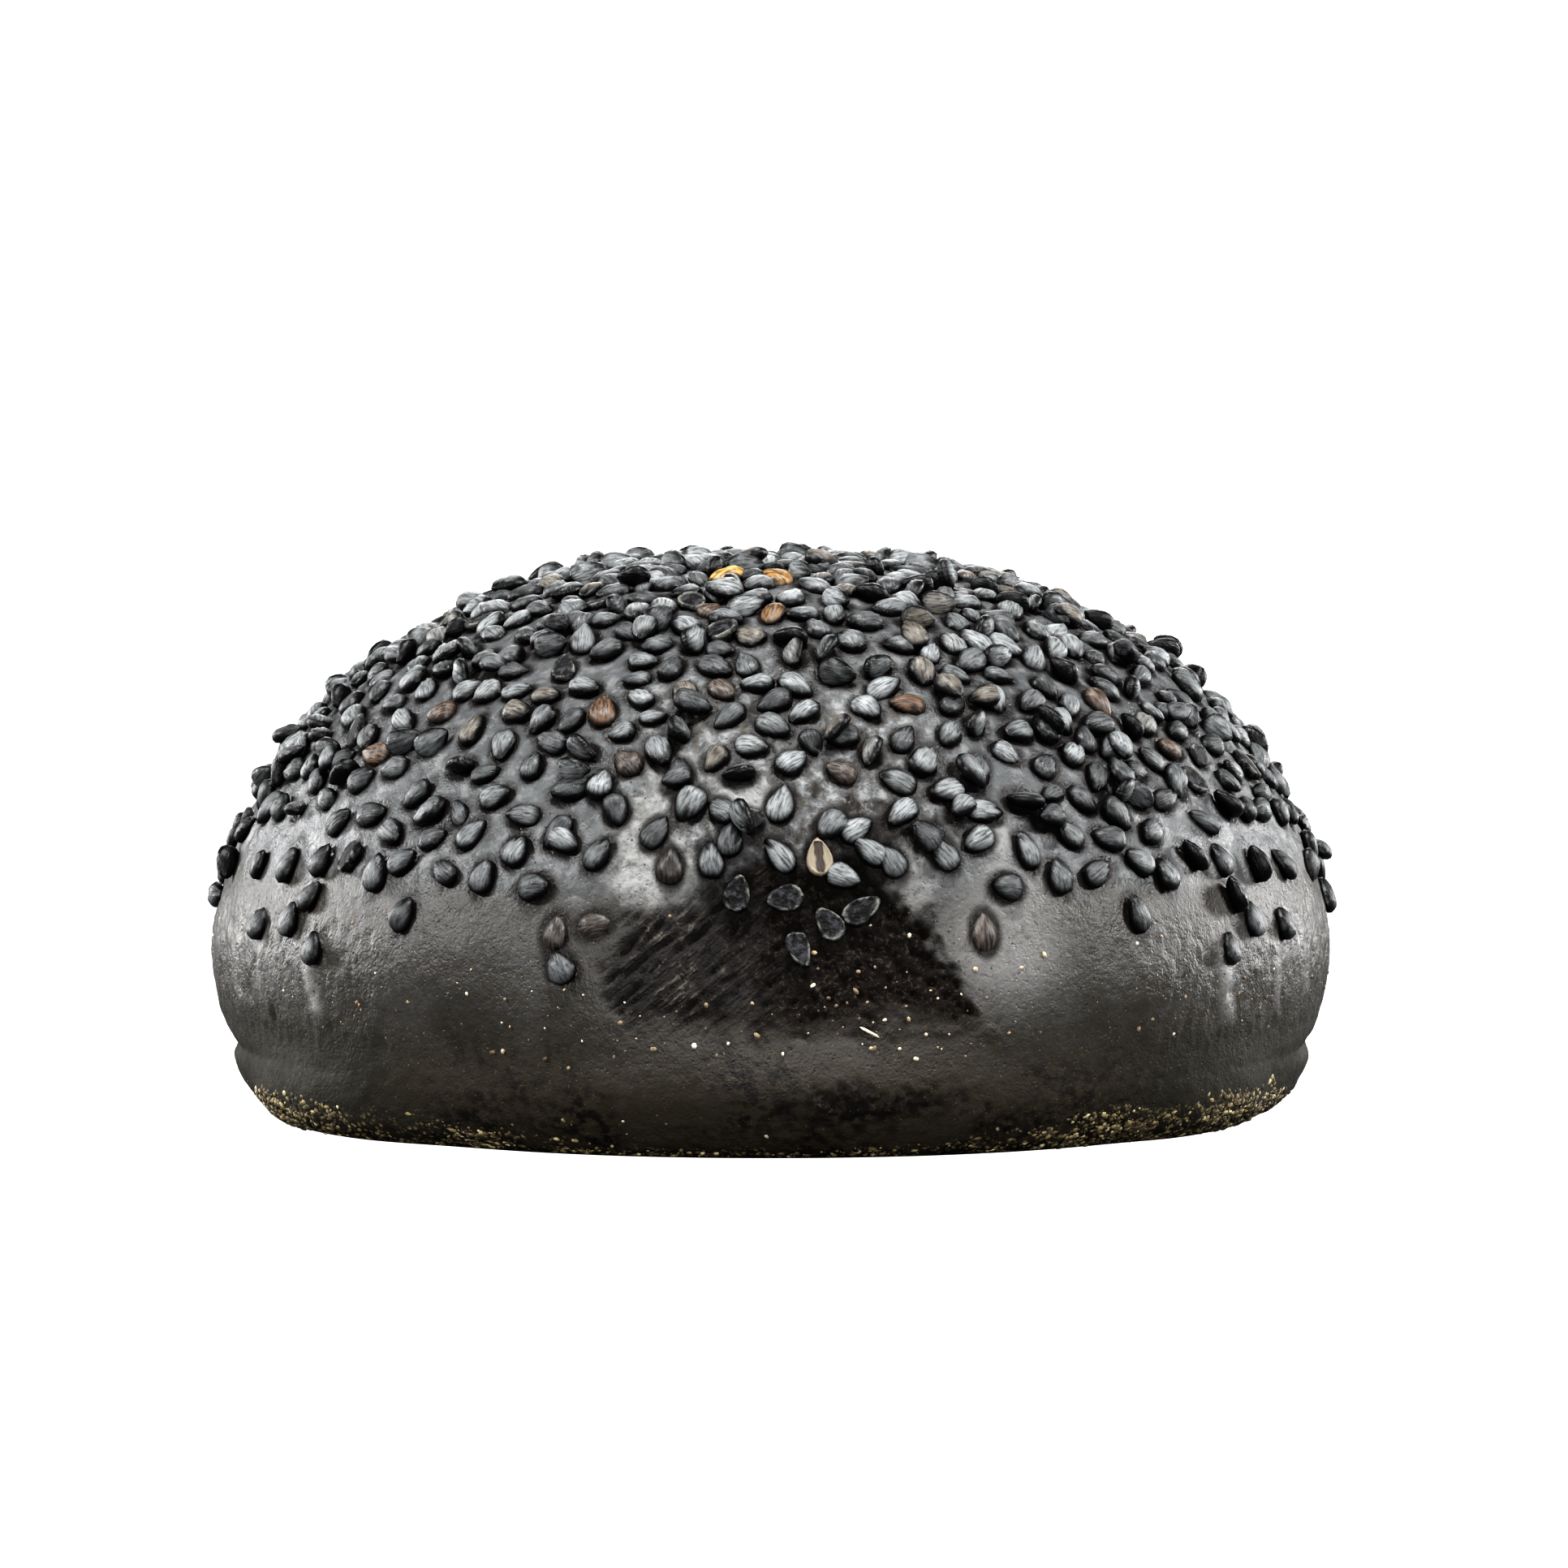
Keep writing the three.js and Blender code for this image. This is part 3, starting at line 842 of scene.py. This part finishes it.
def make_crust(seeds, material):
    azimuths = column_azimuths()
    radius, height = profile_rows()
    inward = np.linspace(1, 0, FOOT_ROWS + 1)[1:-1]
    radius = np.concatenate([radius, radius[-1] * inward])
    height = np.concatenate([height, 0 * inward])
    rows, columns = len(radius), len(azimuths)
    azimuth = np.tile(azimuths, rows)
    radius = np.repeat(radius, columns)
    height = np.repeat(height, columns)
    places = skin_point(azimuth, radius, height)
    gap = nearest_seed(places, height > 16, seeds)
    mask = masks(azimuth, height, places)
    grid = places.reshape(rows, columns, 3)
    round_ = np.roll(grid, -1, 1) - np.roll(grid, 1, 1)
    down = np.gradient(grid, axis=0)
    outward = unit(np.cross(down, round_) + np.array([0, 0, 1e-9])).reshape(-1, 3)
    raised = fine_relief(azimuth, height, places, mask, gap)
    # How far the sunken patch stands up here, for the painted highlight on its crests.
    mask["lit_ridge"] = mask["sunken"] * smoothstep(-0.75, 0.15, raised)
    lifted = places + outward * raised[:, None]
    lifted[:, 2] = np.maximum(lifted[:, 2], 0)
    ends = np.array([[0, 0, lifted[:columns, 2].mean()], [0, 0, 0]])
    values = {label: np.concatenate([numbers, [numbers[:columns].mean(), 0]])
              for label, numbers in {**mask, "gap": gap}.items()}
    return make_piece("crust", np.concatenate([lifted, ends]), grid_faces(rows, columns), values, material)


# Materials.

NOISE_ROUGHNESS = 0.6


class Nodes:
    """Short ways to add shader nodes and join them."""

    def __init__(self, name, made_in="materials", shader="Principled BSDF"):
        self.owner = getattr(bpy.data, made_in).new(name)
        self.owner.use_nodes = True
        self.tree = self.owner.node_tree
        self.shader = self.tree.nodes[shader]

    def add(self, kind, inputs=None, **settings):
        """A node, with its inputs fed by name or number, and its settings."""
        node = self.tree.nodes.new(kind)
        for name, value in settings.items():
            setattr(node, name, value)
        for name, source in (inputs or {}).items():
            self.feed(node.inputs[name], source)
        return node

    def feed(self, socket, source):
        """Links a socket, or sets it to a number, a list or, from a tuple, a colour."""
        if isinstance(source, bpy.types.NodeSocket):
            self.tree.links.new(source, socket)
        else:
            socket.default_value = (*source, 1) if isinstance(source, tuple) else source

    def set(self, name, source):
        self.feed(self.shader.inputs[name], source)

    def value(self, name):
        return self.add("ShaderNodeAttribute", attribute_name=name).outputs["Fac"]

    def place(self, scale, kind="POINT", turn=0.0):
        """A place on the bun, scaled, or measured along and across a turn as seen from the front."""
        inputs = {"Scale": scale, "Rotation": [0, turn, 0],
                  "Vector": self.add("ShaderNodeTexCoord").outputs["Object"]}
        return self.add("ShaderNodeMapping", inputs, vector_type=kind).outputs["Vector"]

    def texture(self, size_mm, detail=3.0, vector=None):
        """Noise whose bumps have a size in mm, or follow a given vector."""
        inputs = {"Scale": 1.0, "Detail": detail, "Roughness": NOISE_ROUGHNESS,
                  "Vector": vector or self.place([1 / (size_mm * MM)] * 3)}
        return self.add("ShaderNodeTexNoise", inputs).outputs["Fac"]

    def spots(self, size_mm):
        inputs = {"Scale": 1.0, "Vector": self.place([1 / (size_mm * MM)] * 3)}
        return self.add("ShaderNodeTexVoronoi", inputs).outputs["Distance"]

    def ramp(self, source, low, high, to_low=0.0, to_high=1.0):
        inputs = {"Value": source, "From Min": low, "From Max": high, "To Min": to_low, "To Max": to_high}
        return self.add("ShaderNodeMapRange", inputs, interpolation_type="SMOOTHSTEP").outputs["Result"]

    def math(self, operation, a, b):
        return self.add("ShaderNodeMath", {0: a, 1: b}, operation=operation).outputs["Value"]

    def times(self, a, b):
        return self.math("MULTIPLY", a, b)

    def mix(self, share, a, b):
        return self.add("ShaderNodeMix", {0: share, 6: a, 7: b}, data_type="RGBA").outputs[2]

    def colours(self, source, stops):
        """A colour for each share from 0 to 1."""
        node = self.add("ShaderNodeValToRGB", {"Fac": source})
        steps = node.color_ramp.elements
        while len(steps) < len(stops):
            steps.new(0.5)
        for step, (share, colour) in zip(steps, stops):
            step.position = share
            step.color = (*colour, 1)
        return node.outputs["Color"]

    def coat(self, under, label, share, over):
        """Lays a colour over another by a share, where the mesh's named value says."""
        return self.mix(self.times(self.value(label), share), under, over)

    def finished(self, colour, roughness, normal=None, specular=None):
        """The material, with the shader's main inputs set where they are given."""
        for name, source in (("Base Color", colour), ("Roughness", roughness), ("Normal", normal),
                             ("Specular IOR Level", specular)):
            if source is not None:
                self.set(name, source)
        return self.owner

    def bump(self, height, distance_mm, strength=1.0, under=None):
        inputs = {"Strength": strength, "Distance": distance_mm * MM, "Height": height}
        if under is not None:
            inputs["Normal"] = under
        return self.add("ShaderNodeBump", inputs).outputs["Normal"]


CRUST_GREY = (0.055, 0.054, 0.0525)
CRUST_DARK = (0.036, 0.034, 0.031)
CRUST_PALE_AND_HIGHLIGHT = (0.25, 0.25, 0.244)
CRUST_WORN_AND_SHEEN = (0.15, 0.148, 0.144)
CROWN_GREY = (0.077, 0.081, 0.084)
ROUGH_PALE = (0.2, 0.2, 0.195)
# A dark brown for stains, also used as painted shade round the seeds and in pores.
STAIN_BROWN_AND_SHADE = (0.004, 0.0022, 0.0013)
TORN_BROWN = (0.048, 0.036, 0.027)
RIDGE_HIGHLIGHT_GREY = (0.1, 0.088, 0.074)
LOW_BROWN = (0.038, 0.0305, 0.0195)
SIDE_OLIVE = (0.019, 0.0172, 0.0115)
FLOUR = (0.3, 0.245, 0.12)
DUST = (0.26, 0.2, 0.13)
DULL_SPECULAR = 0.3


def crust_material():
    n = Nodes("baked_black_crust")
    blotch = n.texture(9, 4)
    grain = n.texture(0.6, 4)
    speckle = n.texture(1.5, 5)
    colour = n.mix(n.ramp(blotch, 0.35, 0.65), CRUST_DARK, CRUST_GREY)
    colour = n.mix(n.ramp(grain, 0.6, 0.4, 0.0, 0.35), colour, LOW_BROWN)
    patchy = n.math("ADD", n.times(grain, 0.45), n.times(speckle, 0.55))
    for label, source, ends, over in (
        ("crown", speckle, (0.25, 0.6, 0.35, 1.0), CROWN_GREY),
        ("crown", speckle, (0.52, 0.64, 0.0, 0.6), CRUST_WORN_AND_SHEEN),
        ("rough", patchy, (0.5, 0.6, 0.0, 0.8), ROUGH_PALE),
        ("rough", patchy, (0.5, 0.42, 0.0, 0.85), LOW_BROWN),
        ("dry", grain, (0.28, 0.55, 0.3, 1.0), CRUST_PALE_AND_HIGHLIGHT),
        # Painted sheen right of the sunken patch.
        ("painted_sheen", grain, (0.25, 0.5, 0.5, 1.0), CRUST_WORN_AND_SHEEN),
        # Painted highlight along the folds up the flank.
        ("fold_and_highlight", grain, (0.3, 0.5, 0.5, 1.0), CRUST_PALE_AND_HIGHLIGHT),
    ):
        colour = n.coat(colour, label, n.ramp(source, *ends), over)
    # Painted shade: dark dots as the shade in pores, kept off the low crust.
    pore_shade = n.times(n.ramp(n.spots(0.85), 0.17, 0.09), n.ramp(n.texture(2.5, 2), 0.42, 0.56, 0.0, 0.8))
    colour = n.mix(n.times(pore_shade, n.ramp(n.value("low"), 0.4, 0.0)), colour, STAIN_BROWN_AND_SHADE)
    streak_size = [1.8 * MM, 0.32 * MM, 0.32 * MM]
    streaks = n.texture(1, 4, n.place(streak_size, "TEXTURE", -STRIATION_SLANT))
    # Painted highlight: paler streaks on the raised crests of the sunken patch, over its dark brown.
    pale = n.times(n.ramp(n.value("lit_ridge"), 0.45, 0.95), n.ramp(streaks, 0.51, 0.6))
    colour = n.coat(colour, "sunken", 0.97, n.mix(pale, STAIN_BROWN_AND_SHADE, RIDGE_HIGHLIGHT_GREY))
    colour = n.coat(colour, "stained", n.ramp(patchy, 0.62, 0.5, 0.5, 1.0), STAIN_BROWN_AND_SHADE)
    colour = n.coat(colour, "stained", n.ramp(n.texture(0.42, 3), 0.55, 0.66, 0.0, 0.8), TORN_BROWN)
    mottled = n.mix(n.ramp(n.texture(1.0, 4), 0.42, 0.58), STAIN_BROWN_AND_SHADE, LOW_BROWN)
    colour = n.coat(colour, "low", 0.9, n.mix(n.ramp(blotch, 0.35, 0.6), mottled, LOW_BROWN))
    colour = n.coat(colour, "side", 0.85, SIDE_OLIVE)
    colour = n.coat(colour, "torn", n.ramp(patchy, 0.58, 0.48, 0.2, 0.95), STAIN_BROWN_AND_SHADE)
    dust = n.times(n.ramp(n.spots(0.42), 0.2, 0.1), n.ramp(n.texture(1.1, 2), 0.5, 0.62, 0.0, 0.5))
    colour = n.mix(n.times(dust, n.ramp(n.value("low"), 0.0, 0.4)), colour, DUST)
    flakes = n.times(n.ramp(n.spots(0.55), 0.5, 0.25), n.ramp(speckle, 0.42, 0.54))
    colour = n.coat(colour, "floury", 0.7, STAIN_BROWN_AND_SHADE)
    colour = n.coat(colour, "floury", flakes, FLOUR)
    # Painted shade: the crust darkens close round each seed.
    colour = n.mix(n.ramp(n.value("gap"), 1.6, 1.05, 0.0, 0.9), colour, STAIN_BROWN_AND_SHADE)
    rough = n.math("ADD", n.ramp(blotch, 0.3, 0.7, 0.32, 0.44), n.ramp(grain, 0.2, 0.8, -0.06, 0.08))
    for label, more in (("sunken", 0.3), ("stained", 0.25), ("dry", 0.2), ("low", 0.1), ("base", 0.1),
                        ("rough", 0.1), ("floury", 0.2), ("side", 0.2)):
        rough = n.math("ADD", rough, n.times(n.value(label), more))
    normal = n.bump(n.ramp(n.spots(0.55), 0.05, 0.3), 0.06, 0.7)
    normal = n.bump(n.texture(0.3, 3), 0.05, 0.6, normal)
    normal = n.bump(n.times(streaks, n.value("sunken")), 0.35, 0.9, normal)
    return n.finished(colour, rough, n.bump(grain, 0.16, 0.8, normal), DULL_SPECULAR)


# Seed tops are painted light; the black is the seeds' own colour and also painted shade on their sides.
SEED_BLACK_AND_SHADE = (0.0016, 0.0016, 0.0019)
SEED_LIT_TOP = (0.216, 0.226, 0.229)
SEED_LIT_TOP_BROWN = (0.13, 0.117, 0.1)
DISH_DARK = (0.0025, 0.0022, 0.0022)
DISH_BLUE = (0.034, 0.0345, 0.039)
SEED_RIM = (0.19, 0.19, 0.17)
DISH_SPECULAR = 0.2
SEED_BROWNS = [(0.0, (0.016, 0.011, 0.007)), (0.35, (0.1, 0.077, 0.064)), (0.65, (0.11, 0.063, 0.034)),
               (1.0, (0.5, 0.28, 0.075))]
TAN_MIDDLE = (0.045, 0.022, 0.01)
TAN_RIM = (0.24, 0.205, 0.15)


def seed_streaks(n):
    """Fine streaks that run the length of each seed."""
    inputs = {"X": n.times(n.value("along"), 3.0), "Y": n.times(n.value("aside"), 11.0)}
    return n.texture(1, 3, n.add("ShaderNodeCombineXYZ", inputs).outputs["Vector"])


def black_seed_material():
    """Painted light: a paler, streaked top as if lit from above, over black sides as painted shade."""
    n = Nodes("black_sesame")
    streaks = seed_streaks(n)
    grain = n.texture(0.35, 4)
    # Painted light: the upper face takes the pale colour, and the sides stay black as painted shade.
    lit_share = n.ramp(n.value("top"), 0.62, 0.96)
    lit_share = n.times(lit_share, n.ramp(streaks, 0.32, 0.6, 0.25, 1.0))
    lit_share = n.times(lit_share, n.ramp(n.value("tone"), 0.0, 0.9, 0.25, 1.0))
    top = n.mix(n.ramp(n.value("tone"), 0.87, 0.95), SEED_LIT_TOP, SEED_LIT_TOP_BROWN)
    normal = n.bump(grain, 0.08, 0.7, n.bump(streaks, 0.12, 0.7))
    return n.finished(n.mix(lit_share, SEED_BLACK_AND_SHADE, top), n.ramp(grain, 0.3, 0.7, 0.3, 0.48), normal,
                      DULL_SPECULAR)


def dished_seed_material():
    """A flat, mottled seed in a pale, broken rim."""
    n = Nodes("dished_sesame")
    grain = n.texture(0.7, 4)
    colour = n.mix(n.ramp(grain, 0.47, 0.6), DISH_DARK, DISH_BLUE)
    broken = n.ramp(n.texture(1.1, 3), 0.46, 0.6, 0.0, 0.9)
    colour = n.coat(colour, "rim", broken, SEED_RIM)
    return n.finished(colour, n.ramp(grain, 0.3, 0.7, 0.5, 0.7), n.bump(grain, 0.4), DISH_SPECULAR)


def brown_seed_material(name, middle=None):
    """A brown seed: its colour by its tone unless it is given, and sides darkened below its top as painted
    shade.
    """
    n = Nodes(name)
    streaks = seed_streaks(n)
    colour = middle or n.colours(n.value("tone"), SEED_BROWNS)
    colour = n.mix(n.ramp(streaks, 0.62, 0.4, 0.0, 0.8), colour, SEED_BLACK_AND_SHADE)
    # Painted shade: darker below the seed's top.
    colour = n.mix(n.ramp(n.value("top"), 0.75, 0.4, 0.0, 0.9), colour, SEED_BLACK_AND_SHADE)
    colour = n.mix(n.ramp(n.value("rim"), 0.35, 0.75, 0.0, 0.9), colour, TAN_RIM)
    return n.finished(colour, n.ramp(streaks, 0.3, 0.7, 0.38, 0.55), n.bump(streaks, 0.12, 0.7))


CRUMB_COLOURS = [(0.0, (0.03, 0.02, 0.008)), (0.5, (0.16, 0.125, 0.06)), (0.85, (0.38, 0.31, 0.16)),
                 (1.0, (0.66, 0.58, 0.38))]
CRUMB_ROUGHNESS = 0.6
SPECK_COLOURS = [(0.0, (0.09, 0.06, 0.035)), (0.55, (0.36, 0.27, 0.17)), (1.0, (0.85, 0.78, 0.6))]


def crumb_material(name, stops):
    n = Nodes(name)
    grain = n.texture(0.3, 3)
    colour = n.mix(n.ramp(grain, 0.6, 0.3, 0.0, 0.5), n.colours(n.value("tone"), stops), LOW_BROWN)
    return n.finished(colour, CRUMB_ROUGHNESS, n.bump(grain, 0.06, 0.6))


# Beige specks and crumbs on the lower crust.
SPECK_DRAW = 5150
SPECK_COUNT = 700
SPECK_SIZES = (0.14, 0.5)
CRUMB_COUNT = 6400
CRUMB_SIZES = (0.14, 0.6)
SIZE_BIAS = 2.4
SPECK_TONE_BIAS = 1.5
CRUMB_TONE_BIAS = 1.8
SUNK_SHARE = 0.1
PEBBLE_FLATNESS = 0.6
SPECK_HEIGHTS = (2.5, 24.5)
SPECK_THICKEST = 9
SPECK_REACH = 8
CRUMB_HEIGHTS = (0.4, 6.9)
CRUMB_TOP = 1.2
CRUMB_TOP_FLOURY = 5.4
FIBRE = dict(across=8.9, height=11.9, size=0.3, stretch=8.0, turn=-0.5, flatness=0.8, tone=0.9)


def pebble_form():
    """A pebble of 20 faces, pointing out."""
    golden = (1 + math.sqrt(5)) / 2
    signs = list(product((-1, 1), repeat=2))
    points = unit(np.array([(x, y * golden, 0) for x, y in signs] + [(0, x, y * golden) for x, y in signs]
                           + [(x * golden, 0, y) for x, y in signs]))
    faces = []
    longest_edge = 1.1
    for face in product(range(12), repeat=3):
        a, b, c = points[list(face)]
        edges = [np.linalg.norm(a - b), np.linalg.norm(b - c), np.linalg.norm(c - a)]
        if face[0] == min(face) and min(edges) > 0 and max(edges) < longest_edge:
            if np.dot(np.cross(b - a, c - a), a) > 0:
                faces.append(face)
    return points, np.array(faces)


def place_pebble(form, at, size, stretch, turn, flatness, lumps):
    x, y, z = (form * lumps[:, None] * size / 2 * np.array([stretch, 1, flatness])).T
    return set_on(at, *turned(x, y, turn), z + SUNK_SHARE * size)


def scatter(name, count, pick, sizes, tone_bias, material, draw, fibre=None):
    """Small pebbles set into the skin where pick gives an azimuth and a height."""
    random = random_from(draw)
    form, faces = pebble_form()
    placed, tones = [], []
    if fibre:
        azimuth = -math.acos(fibre["across"] / float(radius_at(fibre["height"])))
        at = flank_frame(azimuth, fibre["height"])
        placed.append(place_pebble(form, at, fibre["size"], fibre["stretch"], fibre["turn"],
                                   fibre["flatness"], np.ones(len(form))))
        tones.append(fibre["tone"])
    while len(placed) < count:
        spot = pick(random)
        if spot is None:
            continue
        size = between(sizes, random() ** SIZE_BIAS)
        lumps = np.array([0.85 + 0.3 * random() for _ in form])
        placed.append(place_pebble(form, flank_frame(*spot), size, 1 + 0.8 * random(),
                                   2 * math.pi * random(), PEBBLE_FLATNESS, lumps))
        tones.append(random() ** tone_bias)
    all_faces = np.concatenate([faces + step * len(form) for step in range(count)]).tolist()
    values = {"tone": np.repeat(tones, len(form))}
    return make_piece(name, np.concatenate(placed), all_faces, values, material)


def between(ends, share):
    return ends[0] + (ends[1] - ends[0]) * share


def pick_speck(random):
    """Specks lie thickest low at the front and thin out up the flank and round the sides."""
    azimuth = 2 * math.pi * random()
    height = between(SPECK_HEIGHTS, random())
    at_front = 0.25 + 0.75 * max(0, -math.sin(azimuth)) ** 2
    likely = at_front * math.exp(-((height - SPECK_THICKEST) / SPECK_REACH) ** 2)
    return (azimuth, height) if random() < likely else None


def pick_crumb(random):
    """Crumbs of flour cling along the lower corners of the base, and thinly all round it."""
    azimuth = 2 * math.pi * random()
    height = between(CRUMB_HEIGHTS, random())
    top = CRUMB_TOP + CRUMB_TOP_FLOURY * float(flour_reach((azimuth + math.pi) % (2 * math.pi) - math.pi))
    clumped = 0.5 + 0.5 * math.sin(23 * azimuth + 2.6 * math.sin(1.7 * height + 9 * azimuth))
    thick = 0.25 + 0.75 * min(1, top / 4)
    likely = min(1, max(0, 1.6 * (1 - height / top))) * thick * (0.2 + 0.8 * clumped)
    return (azimuth, height) if random() < likely else None


# The stage, lights and camera.
VIEW_DISTANCE = 700.0
VIEW_RISE = math.radians(4.42)
AIM = (1.1, 0.0, 30.2)
EYE_AIM_HEIGHT = 24.0
LENS = 170.85
SENSOR = 36
CLIP = (0.05, 20)
WHITE = (1.0, 1.0, 1.0)
FLOOR_GREY = (0.1, 0.1, 0.1)
FLOOR_ROUGHNESS = 0.9
FLOOR_GLOW = 1.0
FLOOR_REACH = 6.0
FLOOR_GAP = 0.05 * MM
WORLD_FILL = 0.008


def aim(thing, eye, target):
    thing.rotation_euler = (Vector(target) - Vector(eye)).to_track_quat("-Z", "Y").to_euler()


def make_camera():
    data = bpy.data.cameras.new("camera")
    data.lens = LENS
    data.sensor_width = SENSOR
    data.clip_start, data.clip_end = CLIP
    rise = VIEW_DISTANCE * math.sin(VIEW_RISE)
    eye = Vector((0, -VIEW_DISTANCE * math.cos(VIEW_RISE), EYE_AIM_HEIGHT + rise))
    camera = add_object("camera", data, eye * MM)
    aim(camera, eye, AIM)
    bpy.context.scene.camera = camera


def make_stage():
    """A pale floor that shows white from above and not at all from below, just under the base."""
    n = Nodes("pale_floor")
    n.finished(FLOOR_GREY, FLOOR_ROUGHNESS, specular=0.0)
    n.set("Emission Color", WHITE)
    seen = n.add("ShaderNodeLightPath").outputs["Is Camera Ray"]
    n.set("Emission Strength", n.times(seen, FLOOR_GLOW))
    n.set("Alpha", n.math("SUBTRACT", 1.0, n.add("ShaderNodeNewGeometry").outputs["Backfacing"]))
    mesh = bpy.data.meshes.new("floor")
    sides = [(-1, -1), (1, -1), (1, 1), (-1, 1)]
    mesh.from_pydata([(x * FLOOR_REACH, y * FLOOR_REACH, -FLOOR_GAP) for x, y in sides], [], [(0, 1, 2, 3)])
    mesh.materials.append(n.owner)
    floor = add_object("floor", mesh)


# Softboxes: a name, a place and a width and height in metres, and watts. All point at the bun.
SOFTBOXES = [
    ("left_key", (-0.68, -0.18, 0.42), (0.06, 0.06), 6.1),
    ("right_key", (0.68, -0.18, 0.42), (0.06, 0.06), 6.1),
    ("front_fill", (0.0, -0.8, 0.16), (0.3, 0.2), 4.1),
    ("top_light", (0.0, -0.2, 0.78), (0.16, 0.08), 8.0),
    ("left_rim", (-0.6, 0.42, 0.16), (0.1, 0.3), 3.2),
    ("right_rim", (0.6, 0.42, 0.16), (0.1, 0.3), 3.2),
    ("back_light", (0.0, 0.7, 0.35), (0.4, 0.2), 1.4),
]
LIT_MIDDLE = (0, 0, 0.025)


def make_lights():
    for name, place, (width, height), watts in SOFTBOXES:
        data = bpy.data.lights.new(name, "AREA")
        data.shape = "RECTANGLE"
        data.size = width
        data.size_y = height
        data.energy = watts
        aim(add_object(name, data, place), place, LIT_MIDDLE)


def make_world():
    """A white surround that gives the bun only a little fill light."""
    n = Nodes("studio", "worlds", "Background")
    n.set("Color", WHITE)
    seen = n.add("ShaderNodeLightPath").outputs["Is Camera Ray"]
    n.set("Strength", n.ramp(seen, 0.0, 1.0, WORLD_FILL))
    bpy.context.scene.world = n.owner
    bpy.context.scene.view_settings.view_transform = "Standard"
    bpy.context.scene.view_settings.look = "High Contrast"


def make_seeds():
    seeds = stack_seeds(fill_seeds(solid_seeds()))
    deal_kinds(seeds)
    black = black_seed_material()
    materials = dict(plump=black, creased=black, ribbed=black, rimmed=dished_seed_material(),
                     brown=brown_seed_material("brown_sesame"),
                     tan=brown_seed_material("tan_sesame", TAN_MIDDLE))
    for salt, (kind, material) in enumerate(materials.items()):
        dealt = [seed for seed in seeds if seed["kind"] == kind]
        join_forms("seeds_" + kind, dealt, kind, material, 20 + salt)
    return seeds


make_camera()
make_stage()
make_lights()
make_world()
make_crust(make_seeds(), crust_material())
scatter("beige_specks", SPECK_COUNT, pick_speck, SPECK_SIZES, SPECK_TONE_BIAS,
        crumb_material("beige_specks", SPECK_COLOURS), SPECK_DRAW, FIBRE)
scatter("flour_crumbs", CRUMB_COUNT, pick_crumb, CRUMB_SIZES, CRUMB_TONE_BIAS,
        crumb_material("flour_crumbs", CRUMB_COLOURS), SPECK_DRAW + 1)
